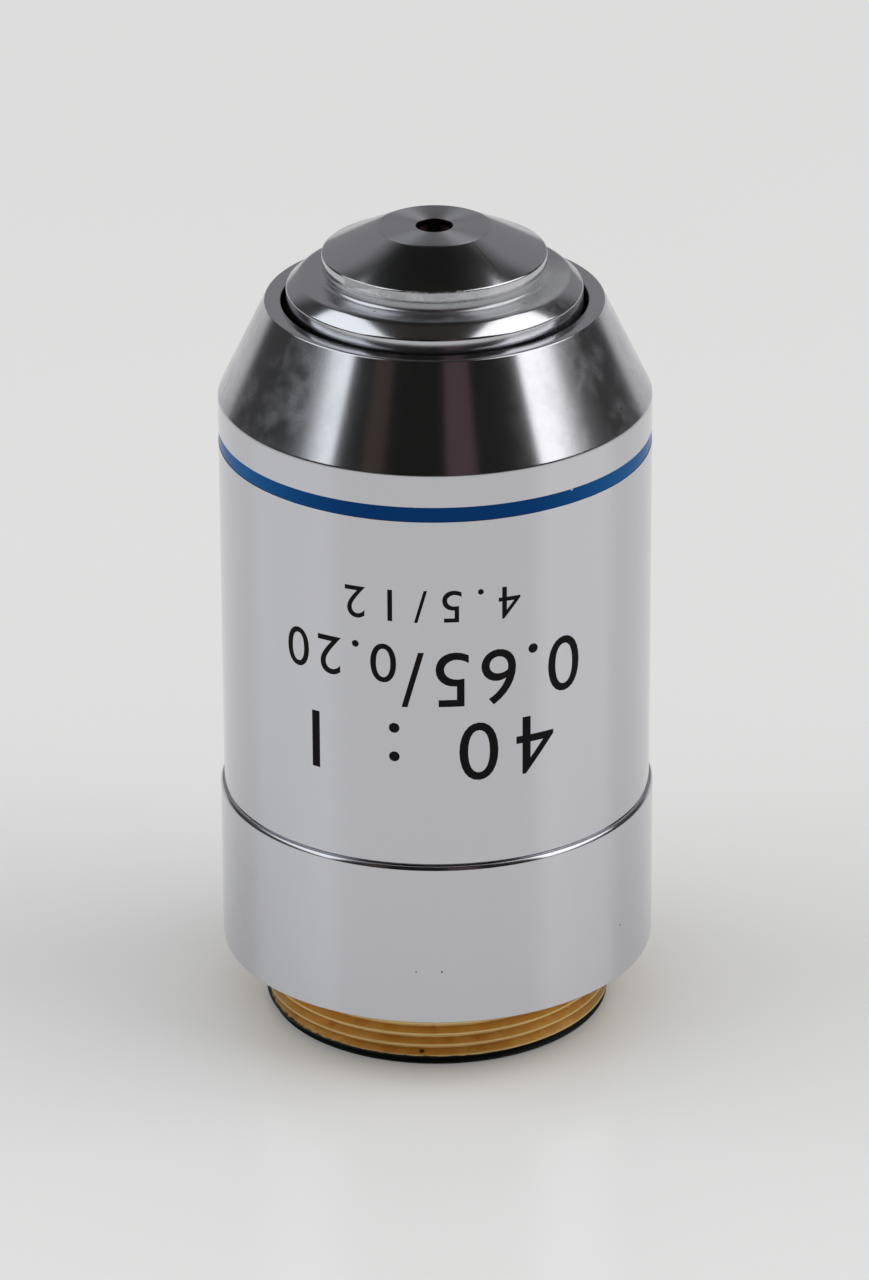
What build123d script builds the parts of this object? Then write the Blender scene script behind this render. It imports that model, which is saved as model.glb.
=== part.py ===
"""A 40x infinity-corrected microscope objective with a spring-loaded nose.

The objective stands on its rear face, as it does on a table: the optical axis is +Z, the origin is on
that axis in the plane of the rear face, and the front lens looks up. All sizes are in millimetres.

The fixed half screws into a microscope's nosepiece: the mount body with its thread, the lower barrel
that sits on the mount's flange, and the outer sleeve that screws down on the mount and clamps the
barrel. The sliding half is the lens tube with its nose cap and its train of lenses in cells. A coil
spring in an annular pocket of the mount body pushes the tube forward until a stop ring on the tube's
rear end meets the mount, and the nose gives way by TRAVEL when it touches a slide.

The radii are worked out from the lenses outward, wall by wall and clearance by clearance, and those of
the boss and the nose cap from the tube's head inward. The heights are worked out from the rear face up.
"""

import math
import os
from dataclasses import dataclass

from build123d import *

# Clearances
SLIP = 0.03                    # radial, between threads, slipped-in cells and their bores
GUIDE_CLEARANCE = 0.03         # radial, between the sliding tube and its guide
CONTACT = 0.005                # between a lens and the corner that it rests on
CEMENT = 0.01                  # layer between two cemented lenses

# Front lens, a thick meniscus with a small hollow in its front face
FRONT_LENS_R = 2.6
FRONT_LENS_THICKNESS = 2.9
FRONT_LENS_REAR_CURVE = 3.4
FRONT_LENS_BEVEL = 0.5
FRONT_HOLLOW_R = 1.0
FRONT_HOLLOW_DEPTH = 0.12

# Second lens, a meniscus
SECOND_LENS_R = 3.9
SECOND_LENS_THICKNESS = 2.4
SECOND_LENS_FRONT_CURVE = 14.0
SECOND_LENS_REAR_CURVE = 5.5

# First cemented doublet, crown in front
DOUBLET_A_R = 4.5
DOUBLET_A_CROWN_THICKNESS = 4.2
DOUBLET_A_FLINT_THICKNESS = 1.1
DOUBLET_A_FRONT_CURVE = 11.0
DOUBLET_A_CEMENT_CURVE = 9.5
DOUBLET_A_REAR_CURVE = 25.0

# Second cemented doublet, flint in front
DOUBLET_B_R = 5.0
DOUBLET_B_FLINT_THICKNESS = 1.2
DOUBLET_B_CROWN_THICKNESS = 4.4
DOUBLET_B_FRONT_CURVE = 40.0
DOUBLET_B_CEMENT_CURVE = 9.5
DOUBLET_B_REAR_CURVE = 13.0

# Rear doublet, a thick meniscus that flattens the field, hollow side to the rear
REAR_LENS_R = 4.4
REAR_CROWN_THICKNESS = 3.4
REAR_FLINT_THICKNESS = 2.4
REAR_FRONT_CURVE = 8.0
REAR_CEMENT_CURVE = 30.0
REAR_HOLLOW_CURVE = 6.5

# Lens cells and the rings that hold the lenses in them
CELL_WALL = 1.47
CELL_LIP = 0.6                 # thickness of the lip that a lens rests against
LIP_REACH = 0.5                # how far a lip or a ring reaches over the lens's edge
LENS_RING_THICKNESS = 1.0
CELL_END_GAP = 0.15            # from a lens or its ring to the end of its cell
CENTRING_GAP = 0.25            # radial room for centring the second doublet
SPANNER_SLOT_WIDTH = 0.9
SPANNER_SLOT_DEPTH = 0.45
SPACER_WALL = 0.9

# Rear end of the lens train
PUPIL_STOP_THICKNESS = 0.6
PUPIL_STOP_R = 3.4
TRAIN_RING_THICKNESS = 2.0
TRAIN_RING_WALL = 1.3
TRAIN_RING_RECESS = 0.6        # from the tube's rear end to the ring

# Lens tube
TUBE_WALL = 1.1                # along the guide
HEAD_WALL = 1.965              # above the collar
HEAD_CHAMFER_WIDTH = 0.845
HEAD_CHAMFER_HEIGHT = 0.75
HEAD_RISE = 0.76               # from the sleeve's rim to the head's chamfer
HEAD_LEDGE = 1.31              # the flat on top of the head, around the boss
BOSS_WALL = 0.87
BOSS_HEIGHT = 0.65
COLLAR_THICKNESS = 1.5
COLLAR_OVERLAP = 0.6           # the collar's radius over the spring's pocket
TUBE_NECK_DEPTH = 0.4          # threaded neck for the stop ring
CELL_SHOULDER = 0.4            # from the nose cap's spigot to the shoulder that the cells meet

# Nose cap
TIP_R = 3.2
TIP_HOLE_R = 1.03
TIP_WALL = 0.37
NOSE_CONE_HEIGHT = 1.56
NOSE_SKIRT = 0.65
NOSE_OVERHANG = 0.1            # over the tube's boss
SPIGOT_LENGTH = 2.56
SPIGOT_WALL = 1.2
FRONT_POCKET_DEPTH = 2.0
FRONT_RING_THICKNESS = 1.0

# Slide, spring and stops
TRAVEL = 2.0
STOP_RING_THICKNESS = 1.8
STOP_STEP = 1.1                # the stop ring's radius over the tube
SHIM_THICKNESS = 0.2
SHIM_WIDTH = 0.95
SPRING_WIRE = 0.8
SPRING_GAP = 0.35              # each side of the coil in its pocket
SPRING_TURNS = 7
SPRING_WIRE_SIDES = 8          # flats that stand for the wire's round section
RETRACTED_GAP = 1.5            # between collar and mount when the nose is fully in
GUIDE_SCREW_R = 0.6
GUIDE_SCREW_REACH = 0.65       # into the tube's slot
SLOT_DEPTH = 0.8
SLOT_PLAY = 0.1
CENTRING_SCREW_R = 0.8
CENTRING_SCREW_COUNT = 3
SCREW_SUNK = 0.15              # below the surface that a screw is driven into
SOCKET_R = 0.35
SOCKET_DEPTH = 0.6

# Mount body
GUIDE_WALL = 0.85
GUIDE_FLOOR = 2.0              # between the counterbore and the spring's pocket
HOUSING_WALL = 0.92
COUNTERBORE_DEPTH = 8.2
COUNTERBORE_GAP = 0.1          # around the stop ring
THREAD_WALL = 1.32             # from the counterbore to the crest of the nosepiece thread
THREAD_LENGTH = 4.1
THREAD_LEAD_WIDTH = 0.26
THREAD_LEAD_HEIGHT = 0.34
RELIEF_WIDTH = 0.6
RELIEF_DEPTH = 0.5
FLANGE_STEP = 0.7
FLANGE_THICKNESS = 2.0
HOUSING_ABOVE_SEAM = 5.9
EDGE_BREAK = 0.12

# Lower barrel
BARREL_LENGTH = 9.99
BARREL_PROUD = 0.21            # the barrel's radius over the sleeve
BARREL_CHAMFER_HEIGHT = 0.26
BARREL_LIP = 1.5
BARREL_RELIEF = 0.5            # the bore above the lip

# Outer sleeve
SLEEVE_WALL = 1.5              # at its thread
SLEEVE_RELIEF = 0.62           # the clear bore above the thread
SLEEVE_STRAIGHT = 24.15
CONE_LENGTH = 5.76
RIM_GAP = 0.28                 # around the lens tube's head
RIM_WIDTH = 0.925
RIM_LAND = 1.8
SLEEVE_RUNOUT = 0.6            # from the end of the mount's thread to the clear bore
BAND_WIDTH = 0.88
BAND_BELOW_CONE = 1.92
BAND_GROOVE_DEPTH = 0.15
BAND_SUNK = 0.02               # the enamel lies just below the chrome


def sag(curve, radius):
    """Height of a spherical surface over its vertex. A positive curve opens upward."""
    return curve - math.copysign(math.sqrt(curve * curve - radius * radius), curve)


@dataclass
class Lens:
    """One lens element. A positive curve opens upward, a negative one downward."""

    radius: float
    thickness: float
    front_curve: float
    rear_curve: float


@dataclass
class CellPlan:
    """Heights inside one cell, with its lenses listed from the front."""

    top: float
    bottom: float
    seat: float
    ring_top: float
    vertices: list


def front_contact(lens):
    """Height over the front vertex at which the lens meets the cell's lip."""
    reach = lens.radius if lens.front_curve > 0 else lens.radius - LIP_REACH
    return sag(lens.front_curve, reach)


def rear_contact(lens):
    """Height over the rear vertex at which the lens meets its ring."""
    reach = lens.radius - LIP_REACH if lens.rear_curve > 0 else lens.radius
    return sag(lens.rear_curve, reach)


def plan_cell(lenses, top=None, bottom=None):
    """Places a cell and its lenses under a given top, or over a given bottom."""
    lip = max(CELL_LIP, CELL_END_GAP - front_contact(lenses[0]))
    depth = sum(lens.thickness for lens in lenses) + CEMENT * (len(lenses) - 1)
    below = max(0.0, LENS_RING_THICKNESS - rear_contact(lenses[-1]) + CONTACT) + CELL_END_GAP
    height = lip + CONTACT + front_contact(lenses[0]) + depth + below
    if top is None:
        top = bottom + height
    vertex = top - lip - CONTACT - front_contact(lenses[0])
    vertices = []
    for lens in lenses:
        vertices.append((vertex, vertex - lens.thickness))
        vertex -= lens.thickness + CEMENT
    ring_top = vertices[-1][1] + rear_contact(lenses[-1]) - CONTACT
    return CellPlan(top, top - height, top - lip, ring_top, vertices)


SECOND_LENS = Lens(SECOND_LENS_R, SECOND_LENS_THICKNESS, SECOND_LENS_FRONT_CURVE, SECOND_LENS_REAR_CURVE)
DOUBLET_A = [
    Lens(DOUBLET_A_R, DOUBLET_A_CROWN_THICKNESS, -DOUBLET_A_FRONT_CURVE, DOUBLET_A_CEMENT_CURVE),
    Lens(DOUBLET_A_R, DOUBLET_A_FLINT_THICKNESS, DOUBLET_A_CEMENT_CURVE, DOUBLET_A_REAR_CURVE),
]
DOUBLET_B = [
    Lens(DOUBLET_B_R, DOUBLET_B_FLINT_THICKNESS, -DOUBLET_B_FRONT_CURVE, -DOUBLET_B_CEMENT_CURVE),
    Lens(DOUBLET_B_R, DOUBLET_B_CROWN_THICKNESS, -DOUBLET_B_CEMENT_CURVE, DOUBLET_B_REAR_CURVE),
]
REAR_DOUBLET = [
    Lens(REAR_LENS_R, REAR_CROWN_THICKNESS, -REAR_FRONT_CURVE, REAR_CEMENT_CURVE),
    Lens(REAR_LENS_R, REAR_FLINT_THICKNESS, REAR_CEMENT_CURVE, -REAR_HOLLOW_CURVE),
]

# Radii, from the lenses outward
CELL_R = max(SECOND_LENS_R, DOUBLET_A_R, DOUBLET_B_R, REAR_LENS_R) + CELL_WALL
TUBE_BORE_R = CELL_R + SLIP
TUBE_R = TUBE_BORE_R + TUBE_WALL
TUBE_NECK_R = TUBE_R - TUBE_NECK_DEPTH
HEAD_R = TUBE_BORE_R + HEAD_WALL
HEAD_TOP_R = HEAD_R - HEAD_CHAMFER_WIDTH
GUIDE_BORE_R = TUBE_R + GUIDE_CLEARANCE
GUIDE_R = GUIDE_BORE_R + GUIDE_WALL
SPRING_R = GUIDE_R + SPRING_GAP + SPRING_WIRE / 2
POCKET_R = SPRING_R + SPRING_WIRE / 2 + SPRING_GAP
COLLAR_R = POCKET_R + COLLAR_OVERLAP
HOUSING_R = POCKET_R + HOUSING_WALL
FLANGE_R = HOUSING_R + FLANGE_STEP
SLEEVE_THREAD_R = HOUSING_R + SLIP
SLEEVE_BORE_R = SLEEVE_THREAD_R + SLEEVE_RELIEF
SLEEVE_R = SLEEVE_THREAD_R + SLEEVE_WALL
BARREL_R = SLEEVE_R + BARREL_PROUD
RIM_BORE_R = HEAD_R + RIM_GAP
RIM_R = RIM_BORE_R + RIM_WIDTH
STOP_RING_R = TUBE_R + STOP_STEP
COUNTERBORE_R = STOP_RING_R + COUNTERBORE_GAP
THREAD_R = COUNTERBORE_R + THREAD_WALL
BOSS_R = HEAD_TOP_R - HEAD_LEDGE
NOSE_R = BOSS_R + NOSE_OVERHANG
FRONT_BORE_R = BOSS_R - BOSS_WALL
SPIGOT_R = FRONT_BORE_R - SLIP
FRONT_RING_BORE_R = SPIGOT_R - SPIGOT_WALL
FRONT_POCKET_R = FRONT_LENS_R + SLIP

# Heights, from the rear face upward
SHOULDER_Z = THREAD_LENGTH
FLANGE_TOP_Z = SHOULDER_Z + FLANGE_THICKNESS
SEAM_Z = SHOULDER_Z + BARREL_LENGTH
HOUSING_TOP_Z = SEAM_Z + HOUSING_ABOVE_SEAM
CONE_Z = SEAM_Z + SLEEVE_STRAIGHT
RIM_Z = CONE_Z + CONE_LENGTH
HEAD_TOP_Z = RIM_Z + HEAD_RISE + HEAD_CHAMFER_HEIGHT
BOSS_Z = HEAD_TOP_Z + BOSS_HEIGHT
NOSE_EDGE_Z = BOSS_Z + NOSE_SKIRT
TIP_Z = NOSE_EDGE_Z + NOSE_CONE_HEIGHT
SPIGOT_Z = BOSS_Z - SPIGOT_LENGTH
CELL_SHOULDER_Z = SPIGOT_Z - CELL_SHOULDER
GUIDE_Z = COUNTERBORE_DEPTH
POCKET_Z = GUIDE_Z + GUIDE_FLOOR
STOP_TOP_Z = GUIDE_Z - SHIM_THICKNESS
TUBE_BOTTOM_Z = STOP_TOP_Z - STOP_RING_THICKNESS
COLLAR_Z = HOUSING_TOP_Z + TRAVEL + RETRACTED_GAP
GUIDE_SCREW_Z = GUIDE_Z + GUIDE_FLOOR / 2
TRAIN_RING_Z = TUBE_BOTTOM_Z + TRAIN_RING_RECESS
PUPIL_STOP_Z = TRAIN_RING_Z + TRAIN_RING_THICKNESS
FRONT_LENS_TOP_Z = TIP_Z - TIP_WALL - CONTACT
FRONT_LENS_REAR_Z = FRONT_LENS_TOP_Z - FRONT_LENS_THICKNESS

# The lens train: three cells under the tube's shoulder, one over the pupil stop, a spacer between
SECOND_PLAN = plan_cell([SECOND_LENS], top=CELL_SHOULDER_Z)
PLAN_A = plan_cell(DOUBLET_A, top=SECOND_PLAN.bottom)
PLAN_B = plan_cell(DOUBLET_B, top=PLAN_A.bottom)
REAR_PLAN = plan_cell(REAR_DOUBLET, bottom=PUPIL_STOP_Z + PUPIL_STOP_THICKNESS)
CENTRING_SCREW_Z = (PLAN_B.top + PLAN_B.bottom) / 2


def turned(*outline):
    """A solid of revolution about the optical axis, from (radius, height) points."""
    edges = Polyline(*[(radius, 0, height) for radius, height in outline], close=True)
    return revolve(make_face(edges), Axis.Z)


def ring(inner, outer, bottom, top):
    """A plain turned ring."""
    return turned((inner, bottom), (outer, bottom), (outer, top), (inner, top))


def radial_rod(radius, start, end, height, angle=0.0):
    """A round rod that points outward from the axis."""
    rod = Cylinder(radius, end - start, align=(Align.CENTER, Align.CENTER, Align.MIN))
    return Rot(0, 0, angle) * Pos(start, 0, height) * Rot(0, 90, 0) * rod


def centring_angles():
    """Angles of the centring screws about the axis."""
    return [90 + 360 * i / CENTRING_SCREW_COUNT for i in range(CENTRING_SCREW_COUNT)]


def spanner_slots(inner, outer, bottom):
    """Two slots across a ring's rear face, for a pin spanner."""
    slot = Box(2 * (outer + inner), SPANNER_SLOT_WIDTH, 2 * SPANNER_SLOT_DEPTH)
    return Pos(0, 0, bottom) * slot


def element(lens, front, rear):
    """A lens element between the heights of its two vertices."""
    def arc(curve, vertex):
        points = [(r, 0, vertex + sag(curve, r)) for r in (0, lens.radius / 2, lens.radius)]
        return ThreePointArc(*points)

    top = arc(lens.front_curve, front)
    bottom = arc(lens.rear_curve, rear)
    edge = Line(top @ 1, bottom @ 1)
    axis = Line((0, 0, rear), (0, 0, front))
    return revolve(make_face([top, edge, bottom, axis]), Axis.Z)


def cell(plan, lens, outer):
    """A cell that holds its lenses between a lip in front and a ring behind."""
    pocket = lens.radius + SLIP
    lip = lens.radius - LIP_REACH
    return turned(
        (lip, plan.top),
        (outer - EDGE_BREAK, plan.top),
        (outer, plan.top - EDGE_BREAK),
        (outer, plan.bottom + EDGE_BREAK),
        (outer - EDGE_BREAK, plan.bottom),
        (pocket, plan.bottom),
        (pocket, plan.seat),
        (lip, plan.seat),
    )


def lens_ring(plan, lens):
    """The threaded ring that holds a cell's lenses, with spanner slots in its rear face."""
    bottom = plan.ring_top - LENS_RING_THICKNESS
    body = ring(lens.radius - LIP_REACH, lens.radius, bottom, plan.ring_top)
    return body - spanner_slots(lens.radius - LIP_REACH, lens.radius, bottom)


def mount_body():
    """The brass body: nosepiece thread, flange, guide for the tube and pocket for the spring."""
    body = turned(
        (COUNTERBORE_R, 0),
        (THREAD_R - THREAD_LEAD_WIDTH, 0),
        (THREAD_R, THREAD_LEAD_HEIGHT),
        (THREAD_R, SHOULDER_Z - RELIEF_WIDTH),
        (THREAD_R - RELIEF_DEPTH, SHOULDER_Z - RELIEF_WIDTH + EDGE_BREAK),
        (THREAD_R - RELIEF_DEPTH, SHOULDER_Z),
        (FLANGE_R, SHOULDER_Z),
        (FLANGE_R, FLANGE_TOP_Z),
        (HOUSING_R, FLANGE_TOP_Z),
        (HOUSING_R, HOUSING_TOP_Z - EDGE_BREAK),
        (HOUSING_R - EDGE_BREAK, HOUSING_TOP_Z),
        (POCKET_R, HOUSING_TOP_Z),
        (POCKET_R, POCKET_Z),
        (GUIDE_R, POCKET_Z),
        (GUIDE_R, HOUSING_TOP_Z),
        (GUIDE_BORE_R, HOUSING_TOP_Z),
        (GUIDE_BORE_R, GUIDE_Z),
        (COUNTERBORE_R, GUIDE_Z),
    )
    return body - radial_rod(GUIDE_SCREW_R + SLIP, TUBE_R, HOUSING_R + 1, GUIDE_SCREW_Z)


def lower_barrel():
    """The chromed ring between the nosepiece shoulder and the sleeve. Its lip sits on the flange."""
    lip_top = FLANGE_TOP_Z + BARREL_LIP
    return turned(
        (FLANGE_R + SLIP, SHOULDER_Z),
        (BARREL_R - EDGE_BREAK, SHOULDER_Z),
        (BARREL_R, SHOULDER_Z + EDGE_BREAK),
        (BARREL_R, SEAM_Z - BARREL_CHAMFER_HEIGHT),
        (SLEEVE_R, SEAM_Z),
        (HOUSING_R + BARREL_RELIEF, SEAM_Z),
        (HOUSING_R + BARREL_RELIEF, lip_top + BARREL_RELIEF),
        (HOUSING_R + SLIP, lip_top),
        (HOUSING_R + SLIP, FLANGE_TOP_Z),
        (FLANGE_R + SLIP, FLANGE_TOP_Z),
    )


def outer_sleeve():
    """The chromed casing: straight below, conical above, with a rim around the lens tube."""
    slope = CONE_LENGTH / (SLEEVE_R - RIM_R)
    land_z = RIM_Z - RIM_LAND
    band_top = CONE_Z - BAND_BELOW_CONE
    band_bottom = band_top - BAND_WIDTH
    thread_end = HOUSING_TOP_Z + SLEEVE_RUNOUT
    return turned(
        (SLEEVE_THREAD_R, SEAM_Z),
        (SLEEVE_R, SEAM_Z),
        (SLEEVE_R, band_bottom),
        (SLEEVE_R - BAND_GROOVE_DEPTH, band_bottom),
        (SLEEVE_R - BAND_GROOVE_DEPTH, band_top),
        (SLEEVE_R, band_top),
        (SLEEVE_R, CONE_Z),
        (RIM_R + EDGE_BREAK / 2, RIM_Z - EDGE_BREAK / 2 * slope),
        (RIM_R - EDGE_BREAK / 2, RIM_Z),
        (RIM_BORE_R + EDGE_BREAK, RIM_Z),
        (RIM_BORE_R, RIM_Z - EDGE_BREAK),
        (RIM_BORE_R, land_z),
        (SLEEVE_BORE_R, land_z - (SLEEVE_BORE_R - RIM_BORE_R) * slope),
        (SLEEVE_BORE_R, thread_end + SLEEVE_RELIEF),
        (SLEEVE_THREAD_R, thread_end),
    )


def colour_band():
    """The enamel ring that shows the magnification, in its groove."""
    top = CONE_Z - BAND_BELOW_CONE
    return ring(SLEEVE_R - BAND_GROOVE_DEPTH, SLEEVE_R - BAND_SUNK, top - BAND_WIDTH, top)


def parfocal_shim():
    """The thin washer between the stop ring and the mount, which sets the parfocal length."""
    return ring(GUIDE_BORE_R + SLIP, GUIDE_BORE_R + SHIM_WIDTH, STOP_TOP_Z, GUIDE_Z)


def retraction_spring():
    """The coil spring between the pocket's floor and the tube's collar, its ends ground flat."""
    height = COLLAR_Z - POCKET_Z
    pitch = height / SPRING_TURNS
    path = Helix(pitch, height + SPRING_WIRE, SPRING_R, center=(0, 0, POCKET_Z - SPRING_WIRE / 2))
    section = Plane(path @ 0, z_dir=path % 0) * RegularPolygon(SPRING_WIRE / 2, SPRING_WIRE_SIDES)
    coil = sweep(section, path, is_frenet=True)
    room = Pos(0, 0, (POCKET_Z + COLLAR_Z) / 2) * Box(2 * HOUSING_R, 2 * HOUSING_R, height)
    return coil & room


def guide_screw():
    """The dog-point screw that keeps the lens tube from turning."""
    tip = TUBE_R - GUIDE_SCREW_REACH
    head = HOUSING_R - SCREW_SUNK
    screw = radial_rod(GUIDE_SCREW_R, tip, head, GUIDE_SCREW_Z)
    return screw - radial_rod(SOCKET_R, head - SOCKET_DEPTH, HOUSING_R, GUIDE_SCREW_Z)


def stop_ring():
    """The ring on the tube's rear end that stops the tube against the mount."""
    body = ring(TUBE_NECK_R + SLIP, STOP_RING_R, TUBE_BOTTOM_Z, STOP_TOP_Z)
    return body - spanner_slots(TUBE_NECK_R, STOP_RING_R, TUBE_BOTTOM_Z)


def lens_tube():
    """The sliding tube. Its head and boss show above the sleeve's rim."""
    collar_top = COLLAR_Z + COLLAR_THICKNESS
    tube = turned(
        (TUBE_BORE_R, TUBE_BOTTOM_Z),
        (TUBE_NECK_R, TUBE_BOTTOM_Z),
        (TUBE_NECK_R, STOP_TOP_Z),
        (TUBE_R, STOP_TOP_Z),
        (TUBE_R, COLLAR_Z),
        (COLLAR_R, COLLAR_Z),
        (COLLAR_R, collar_top),
        (HEAD_R, collar_top),
        (HEAD_R, RIM_Z + HEAD_RISE),
        (HEAD_TOP_R, HEAD_TOP_Z),
        (BOSS_R, HEAD_TOP_Z),
        (BOSS_R, BOSS_Z),
        (FRONT_BORE_R, BOSS_Z),
        (FRONT_BORE_R, CELL_SHOULDER_Z),
        (TUBE_BORE_R, CELL_SHOULDER_Z),
    )
    for angle in centring_angles():
        tube -= radial_rod(CENTRING_SCREW_R + SLIP, CELL_R - 1, HEAD_R + 1, CENTRING_SCREW_Z, angle)
    return tube - guide_slot()


def guide_slot():
    """The blind slot in the lens tube that the guide screw runs in."""
    half = GUIDE_SCREW_R + SLOT_PLAY
    floor = TUBE_R - SLOT_DEPTH
    end = radial_rod(half, floor, TUBE_R + 1, GUIDE_SCREW_Z)
    far_end = Pos(0, 0, TRAVEL) * end
    middle = Pos((floor + TUBE_R + 1) / 2, 0, GUIDE_SCREW_Z + TRAVEL / 2) * Box(
        TUBE_R + 1 - floor, 2 * half, TRAVEL
    )
    return end + far_end + middle


def nose_cap():
    """The conical cap that carries the front lens, on a spigot screwed into the tube."""
    pocket_z = FRONT_LENS_TOP_Z - FRONT_POCKET_DEPTH
    bevel = FRONT_LENS_BEVEL
    roof = FRONT_LENS_TOP_Z + CONTACT
    return turned(
        (TIP_HOLE_R, TIP_Z),
        (TIP_R, TIP_Z),
        (NOSE_R, NOSE_EDGE_Z),
        (NOSE_R, BOSS_Z),
        (SPIGOT_R, BOSS_Z),
        (SPIGOT_R, SPIGOT_Z),
        (FRONT_RING_BORE_R, SPIGOT_Z),
        (FRONT_RING_BORE_R, pocket_z),
        (FRONT_POCKET_R, pocket_z),
        (FRONT_POCKET_R, roof - bevel + SLIP),
        (FRONT_LENS_R - bevel + SLIP, roof),
        (TIP_HOLE_R, roof),
    )


def front_lens():
    """The front lens: flat annulus and small hollow in front, a deep curve behind."""
    hollow = ThreePointArc(
        (0, 0, FRONT_LENS_TOP_Z - FRONT_HOLLOW_DEPTH),
        (FRONT_HOLLOW_R / 2, 0, FRONT_LENS_TOP_Z - FRONT_HOLLOW_DEPTH * 3 / 4),
        (FRONT_HOLLOW_R, 0, FRONT_LENS_TOP_Z),
    )
    bottom = ThreePointArc(
        *[(r, 0, FRONT_LENS_REAR_Z + sag(FRONT_LENS_REAR_CURVE, r))
          for r in (FRONT_LENS_R, FRONT_LENS_R / 2, 0)]
    )
    side = Polyline(
        hollow @ 1,
        (FRONT_LENS_R - FRONT_LENS_BEVEL, 0, FRONT_LENS_TOP_Z),
        (FRONT_LENS_R, 0, FRONT_LENS_TOP_Z - FRONT_LENS_BEVEL),
        bottom @ 0,
    )
    axis = Line(bottom @ 1, hollow @ 0)
    return revolve(make_face([hollow, side, bottom, axis]), Axis.Z)


def front_lens_ring():
    """The threaded ring under the front lens."""
    inner = FRONT_LENS_R - LIP_REACH
    top = FRONT_LENS_REAR_Z + sag(FRONT_LENS_REAR_CURVE, inner) - CONTACT
    bottom = top - FRONT_RING_THICKNESS
    outer = FRONT_RING_BORE_R - SLIP
    return ring(inner, outer, bottom, top) - spanner_slots(inner, outer, bottom)


def long_spacer():
    """The spacer tube between the second doublet's cell and the rear cell."""
    return ring(CELL_R - SPACER_WALL, CELL_R, REAR_PLAN.top, PLAN_B.bottom)


def pupil_stop():
    """The blackened disc that limits the beam at the rear."""
    return ring(PUPIL_STOP_R, CELL_R, PUPIL_STOP_Z, PUPIL_STOP_Z + PUPIL_STOP_THICKNESS)


def train_ring():
    """The threaded ring that clamps the whole lens train in the tube."""
    inner = CELL_R - TRAIN_RING_WALL
    return ring(inner, CELL_R, TRAIN_RING_Z, PUPIL_STOP_Z) - spanner_slots(inner, CELL_R, TRAIN_RING_Z)


def centring_screws():
    """The set screws that centre the second doublet's cell."""
    tip = CELL_R - CENTRING_GAP + CONTACT
    head = HEAD_R - SCREW_SUNK
    screws = []
    for angle in centring_angles():
        screw = radial_rod(CENTRING_SCREW_R, tip, head, CENTRING_SCREW_Z, angle)
        screws.append(screw - radial_rod(SOCKET_R, head - SOCKET_DEPTH, HEAD_R, CENTRING_SCREW_Z, angle))
    return Compound(children=screws)


def build_pieces():
    """Every piece of the objective by name."""
    pieces = {
        "mount_body": mount_body(),
        "lower_barrel": lower_barrel(),
        "outer_sleeve": outer_sleeve(),
        "colour_band": colour_band(),
        "parfocal_shim": parfocal_shim(),
        "retraction_spring": retraction_spring(),
        "guide_screw": guide_screw(),
        "stop_ring": stop_ring(),
        "lens_tube": lens_tube(),
        "nose_cap": nose_cap(),
        "front_lens": front_lens(),
        "front_lens_ring": front_lens_ring(),
        "second_lens_cell": cell(SECOND_PLAN, SECOND_LENS, CELL_R),
        "second_lens": element(SECOND_LENS, *SECOND_PLAN.vertices[0]),
        "second_lens_ring": lens_ring(SECOND_PLAN, SECOND_LENS),
        "long_spacer": long_spacer(),
        "pupil_stop": pupil_stop(),
        "train_ring": train_ring(),
        "centring_screws": centring_screws(),
    }
    groups = {
        "doublet_a": (PLAN_A, DOUBLET_A, CELL_R, ("crown", "flint")),
        "doublet_b": (PLAN_B, DOUBLET_B, CELL_R - CENTRING_GAP, ("flint", "crown")),
        "rear_doublet": (REAR_PLAN, REAR_DOUBLET, CELL_R, ("crown", "flint")),
    }
    for name, (plan, lenses, outer, glasses) in groups.items():
        pieces[f"{name}_cell"] = cell(plan, lenses[0], outer)
        pieces[f"{name}_ring"] = lens_ring(plan, lenses[-1])
        for lens, vertices, glass in zip(lenses, plan.vertices, glasses):
            pieces[f"{name}_{glass}"] = element(lens, *vertices)
    return pieces


if __name__ == "__main__":
    os.makedirs("parts", exist_ok=True)
    for name, piece in build_pieces().items():
        export_step(piece, f"parts/{name}.step")
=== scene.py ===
"""Dresses a spring-loaded microscope objective for a studio picture.

The objective stands on its threaded end, nose up, on a pale table. Its fixed half is the brass mount body
with the nosepiece thread, the chromed lower barrel and the chromed sleeve with its blue band and its
numbers. Its sliding half is the lens tube with the nose cap and the lenses in their cells. Every turned
piece is spun about the optical axis from an outline, in millimetres, and scaled to metres at the end.
"""

from __future__ import annotations

import logging
import math
from collections.abc import Iterable, Sequence
from dataclasses import dataclass
from enum import Enum
from typing import Any, Union

import bmesh
import bpy
from bpy.types import Material, Node, NodeSocket, Object
from mathutils import Matrix, Vector


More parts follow.
